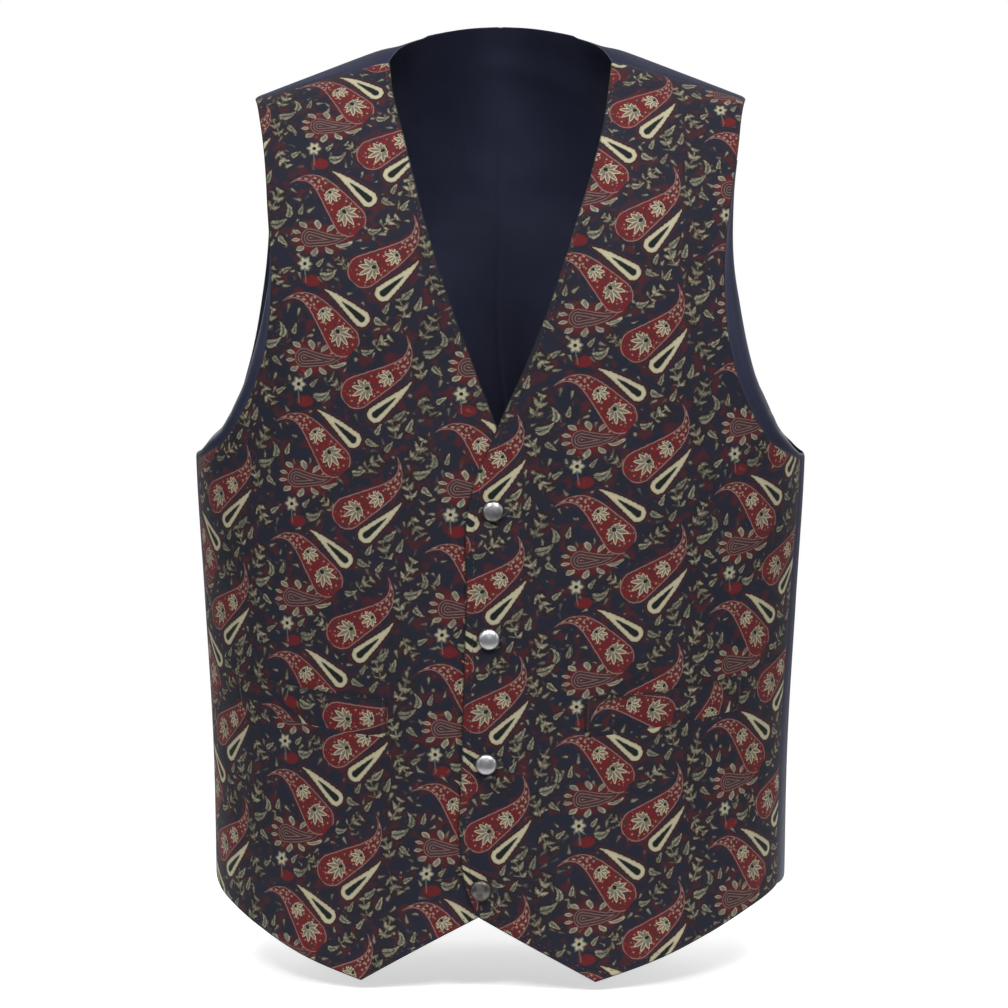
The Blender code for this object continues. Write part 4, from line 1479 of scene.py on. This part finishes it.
def stitch_nodes():
    """A node tree that lays one stitch at each vertex, along the vertex's direction."""
    tree = bpy.data.node_groups.new("Stitches", "GeometryNodeTree")
    tree.is_modifier = True
    tree.interface.new_socket("Places", in_out="INPUT", socket_type="NodeSocketGeometry")
    for name in ("Stitch Length", "Stitch Width"):
        tree.interface.new_socket(name, in_out="INPUT", socket_type="NodeSocketFloat")
    tree.interface.new_socket("Thread", in_out="INPUT", socket_type="NodeSocketMaterial")
    tree.interface.new_socket("Stitches", in_out="OUTPUT", socket_type="NodeSocketGeometry")
    field = Field(tree)
    given = tree.nodes.new("NodeGroupInput")
    places, length, width, sewing = (Field(tree, given.outputs[i]) for i in range(4))
    direction = field.node(
        "GeometryNodeInputNamedAttribute", {"data_type": "FLOAT_VECTOR"}, {"Name": "direction"}
    )
    rotation = field.node("FunctionNodeAlignRotationToVector", {"axis": "X"}, {"Vector": direction})
    bead = field.node("GeometryNodeMeshUVSphere", None, {"Segments": 6, "Rings": 4, "Radius": 0.5})
    uneven = field.node(
        "FunctionNodeRandomValue", {"data_type": "FLOAT"}, {"Min": 0.85, "Max": 1.12, "Seed": 7}, 1
    )
    scale = field.node("ShaderNodeCombineXYZ", None, {0: length * uneven, 1: width, 2: width})
    points = field.node("GeometryNodeMeshToPoints", None, {"Mesh": places})
    sockets = {"Points": points, "Instance": bead, "Rotation": rotation, "Scale": scale}
    laid = field.node("GeometryNodeInstanceOnPoints", None, sockets)
    real = field.node("GeometryNodeRealizeInstances", None, {0: laid})
    smooth = field.node("GeometryNodeSetShadeSmooth", None, {"Geometry": real})
    sewn = field.node("GeometryNodeSetMaterial", None, {"Geometry": smooth, "Material": sewing})
    out = tree.nodes.new("NodeGroupOutput")
    tree.links.new(sewn.socket, out.inputs[0])
    return tree


def sew(context, name, places, directions, length, width):
    """One piece of stitches at these places."""
    mesh = bpy.data.meshes.new(name)
    mesh.from_pydata(np.asarray(places).tolist(), [], [])
    layer = mesh.attributes.new("direction", "FLOAT_VECTOR", "POINT")
    layer.data.foreach_set("vector", np.asarray(directions).ravel())
    piece = bpy.data.objects.new(name, mesh)
    bpy.context.scene.collection.objects.link(piece)
    tree = bpy.data.node_groups.get("Stitches") or stitch_nodes()
    sewn = piece.modifiers.new("Stitches", "NODES")
    sewn.node_group = tree
    given = {"Stitch Length": length, "Stitch Width": width, "Thread": finish(context, "sewing_thread")}
    for item in tree.interface.items_tree:
        if item.in_out == "INPUT" and item.name in given:
            sewn[item.identifier] = given[item.name]
    make_plain(piece)
    settle(piece, None)
    return piece


def spaced(path, step):
    """Points one step apart along a path, and the path's directions there."""
    stride = np.linalg.norm(np.diff(path, axis=0), axis=1)
    at = np.concatenate([[0], np.cumsum(stride)])
    wanted = np.arange(step / 2, at[-1], step)
    points = np.stack([np.interp(wanted, at, path[:, i]) for i in range(3)], axis=-1)
    ways = np.gradient(points, axis=0)
    return points, ways / np.linalg.norm(ways, axis=-1, keepdims=True)


def sew_edges(context):
    """Edge stitches down the front edges, along the hems and round the welts."""
    cloth = context.scene.waistcoat_cloth
    lines = STITCH_LINES
    proud = cloth.stitch_width * STITCH_PROUD
    places, ways = [], []
    for side in (1, -1):
        down = front_cut(np.array([lines["edge_in"]]), np.linspace(*lines["edge"]))
        along = front_cut(np.linspace(*lines["hem"]), np.array([lines["hem_in"]]))
        for turn, rise in (down, along):
            turn, rise = turn.ravel() * side, rise.ravel()
            path = front_point(turn, rise, side, np.full_like(rise, proud))
            points, directions = spaced(path, cloth.stitch_step)
            places.append(points)
            ways.append(directions)
        for across in lines["welt_in"]:
            ends = [rows[0] + (rows[1] - rows[0]) * across for rows in WELT.values()]
            up = np.linspace(*lines["welt"])
            rise = ends[2] + (ends[1] - ends[2]) * up
            turn = np.full_like(rise, ends[0] * side)
            path = front_point(turn, rise, side, welt_lift(cloth, up) + proud)
            points, directions = spaced(path, cloth.stitch_length * WELT_STITCH_STEP)
            places.append(points)
            ways.append(directions)
    places, ways = np.concatenate(places), np.concatenate(ways)
    sew(context, "edge_stitches", places, ways, cloth.stitch_length, cloth.stitch_width)


def sew_buttonholes(context):
    """Close wraps of thread round each buttonhole in the left front."""
    cloth = context.scene.waistcoat_cloth
    size = BUTTONHOLE
    places, ways = [], []
    for height in BUTTON_HEIGHTS:
        seat = button_seat(height)
        for x in np.arange(size["outer"], size["inner"], cloth.stitch_width * WRAP_STEP):
            for way in (1, -1):
                places.append(seat @ Vector((x, way * size["half_width"], size["lift"])))
                ways.append(seat.to_3x3() @ Vector((0.15 * way, 1.0, 0.0)))
        for angle in np.linspace(-np.pi / 2, np.pi / 2, 9):
            way = Vector((np.cos(angle), np.sin(angle), 0.0))
            end = Vector((size["inner"], 0.0, size["lift"]))
            places.append(seat @ (end + way * size["half_width"]))
            ways.append(seat.to_3x3() @ way)
    sew(context, "buttonhole_thread", places, ways, size["half_width"] * 2.1, cloth.stitch_width)


def make_floor(context):
    """A wide pale floor below the hem."""
    stage = context.scene.waistcoat_stage
    shape = bmesh.new()
    bmesh.ops.create_grid(shape, x_segments=24, y_segments=24, size=stage.floor_radius * 1.4)
    bmesh.ops.translate(shape, vec=(0, 0, stage.floor_height), verts=shape.verts)
    mesh = bpy.data.meshes.new("floor")
    shape.to_mesh(mesh)
    shape.free()
    mesh.materials.append(floor_material(Look(context.scene), stage.floor_radius, stage.floor_glow))
    floor = bpy.data.objects.new("floor", mesh)
    context.scene.collection.objects.link(floor)


def make_light(context, name, place, aim, size, power, spread):
    """A square soft light aimed at a point."""
    lamp = bpy.data.lights.new(name, "AREA")
    lamp.shape = "SQUARE"
    lamp.size = size
    lamp.energy = power
    lamp.spread = np.radians(spread)
    light = bpy.data.objects.new(name, lamp)
    light.location = place
    light.rotation_euler = (Vector(aim) - Vector(place)).to_track_quat("-Z", "Y").to_euler()
    context.scene.collection.objects.link(light)


def make_surround(strength):
    """A studio round the object: white where it is seen directly, dimmer at eye level for what it lights."""
    world = bpy.data.worlds.new("studio")
    world.use_nodes = True
    field = Field(world.node_tree)
    way = field.node("ShaderNodeTexCoord", None, None, 0)
    height = field.node("ShaderNodeSeparateXYZ", None, {0: way}, 2)
    lit = height.between(-0.3, 0.0, 0.25 * strength, 0.35 * strength)
    seen = field.node("ShaderNodeLightPath")
    backdrop = world.node_tree.nodes["Background"]
    feed(backdrop, Color=(1.0, 1.0, 1.0, 1.0), Strength=lit + (1.0 - lit) * seen)
    return world


def make_camera(context):
    """The camera that took the photograph."""
    lift = np.radians(CAMERA_ELEVATION)
    target = Vector(CAMERA_TARGET)
    place = target + CAMERA_DISTANCE * Vector((0.0, -np.cos(lift), np.sin(lift)))
    data = bpy.data.cameras.new("camera")
    data.lens = CAMERA_LENS
    data.clip_end = 100.0
    camera = bpy.data.objects.new("camera", data)
    camera.location = place
    camera.rotation_euler = (target - place).to_track_quat("-Z", "Y").to_euler()
    context.scene.collection.objects.link(camera)
    context.scene.camera = camera


class WAISTCOAT_OT_stage(bpy.types.Operator):
    """Set up the floor, the lights and the camera"""

    bl_idname = "waistcoat.stage"
    bl_label = "Stage"

    def execute(self, context):
        stage = context.scene.waistcoat_stage
        make_camera(context)
        make_floor(context)
        context.scene.world = make_surround(stage.surround)
        for name, (place, aim, size, share, spread) in LIGHTS.items():
            make_light(context, name, place, aim, size, stage.key * share, spread)
        context.scene.view_settings.view_transform = "Standard"
        return {"FINISHED"}


class WAISTCOAT_OT_back(bpy.types.Operator):
    """Build the satin back"""

    bl_idname = "waistcoat.back"
    bl_label = "Back"

    def execute(self, context):
        back = make_back(context)
        return {"FINISHED"}


class WAISTCOAT_OT_fronts(bpy.types.Operator):
    """Build the two printed fronts"""

    bl_idname = "waistcoat.fronts"
    bl_label = "Fronts"

    def execute(self, context):
        for node, side in (("front_left", 1), ("front_right", -1)):
            front = make_front(context, node, side)
        return {"FINISHED"}


class WAISTCOAT_OT_bands(bpy.types.Operator):
    """Build the satin bands of the two armholes"""

    bl_idname = "waistcoat.bands"
    bl_label = "Armhole Bands"

    def execute(self, context):
        for hand, side in (("left", 1), ("right", -1)):
            band = make_band(context, f"armhole_band_{hand}", side)
        return {"FINISHED"}


class WAISTCOAT_OT_welts(bpy.types.Operator):
    """Build the two pocket welts"""

    bl_idname = "waistcoat.welts"
    bl_label = "Welts"

    def execute(self, context):
        for node, side in (("welt_left", 1), ("welt_right", -1)):
            welt = make_welt(context, node, side)
        return {"FINISHED"}


class WAISTCOAT_OT_buttons(bpy.types.Operator):
    """Build the four metal buttons"""

    bl_idname = "waistcoat.buttons"
    bl_label = "Buttons"

    def execute(self, context):
        for number, (height, painted_shade) in enumerate(zip(BUTTON_HEIGHTS, BUTTON_PAINTED_SHADE), 1):
            make_button(context, number, height, painted_shade)
        return {"FINISHED"}


class WAISTCOAT_OT_stitches(bpy.types.Operator):
    """Sew the edges, the welts and the buttonholes"""

    bl_idname = "waistcoat.stitches"
    bl_label = "Stitches"

    def execute(self, context):
        sew_edges(context)
        sew_buttonholes(context)
        return {"FINISHED"}


class WAISTCOAT_PT_panel(bpy.types.Panel):
    """Waistcoat pieces, in the order in which they are built"""

    bl_label = "Waistcoat"
    bl_idname = "WAISTCOAT_PT_panel"
    bl_space_type = "VIEW_3D"
    bl_region_type = "UI"
    bl_category = "Waistcoat"

    def draw(self, context):
        for operator in OPERATORS:
            self.layout.operator(operator.bl_idname)
        for group in GROUPS:
            settings = getattr(context.scene, group)
            for name in settings.__annotations__:
                self.layout.prop(settings, name)


GROUPS = {
    "waistcoat_cloth": WaistcoatCloth,
    "waistcoat_print": WaistcoatPrint,
    "waistcoat_plain": WaistcoatPlain,
    "waistcoat_buttons": WaistcoatButtons,
    "waistcoat_stage": WaistcoatStage,
}
OPERATORS = (
    WAISTCOAT_OT_stage,
    WAISTCOAT_OT_back,
    WAISTCOAT_OT_fronts,
    WAISTCOAT_OT_bands,
    WAISTCOAT_OT_welts,
    WAISTCOAT_OT_buttons,
    WAISTCOAT_OT_stitches,
)
CLASSES = (*GROUPS.values(), *OPERATORS, WAISTCOAT_PT_panel)


def register():
    for item in CLASSES:
        bpy.utils.register_class(item)
    for name, group in GROUPS.items():
        setattr(bpy.types.Scene, name, PointerProperty(type=group))


def unregister():
    for name in GROUPS:
        delattr(bpy.types.Scene, name)
    for item in reversed(CLASSES):
        bpy.utils.unregister_class(item)


def main():
    register()
    for operator in ("stage", "back", "fronts", "bands", "welts", "buttons", "stitches"):
        getattr(bpy.ops.waistcoat, operator)()


if __name__ == "__main__":
    main()
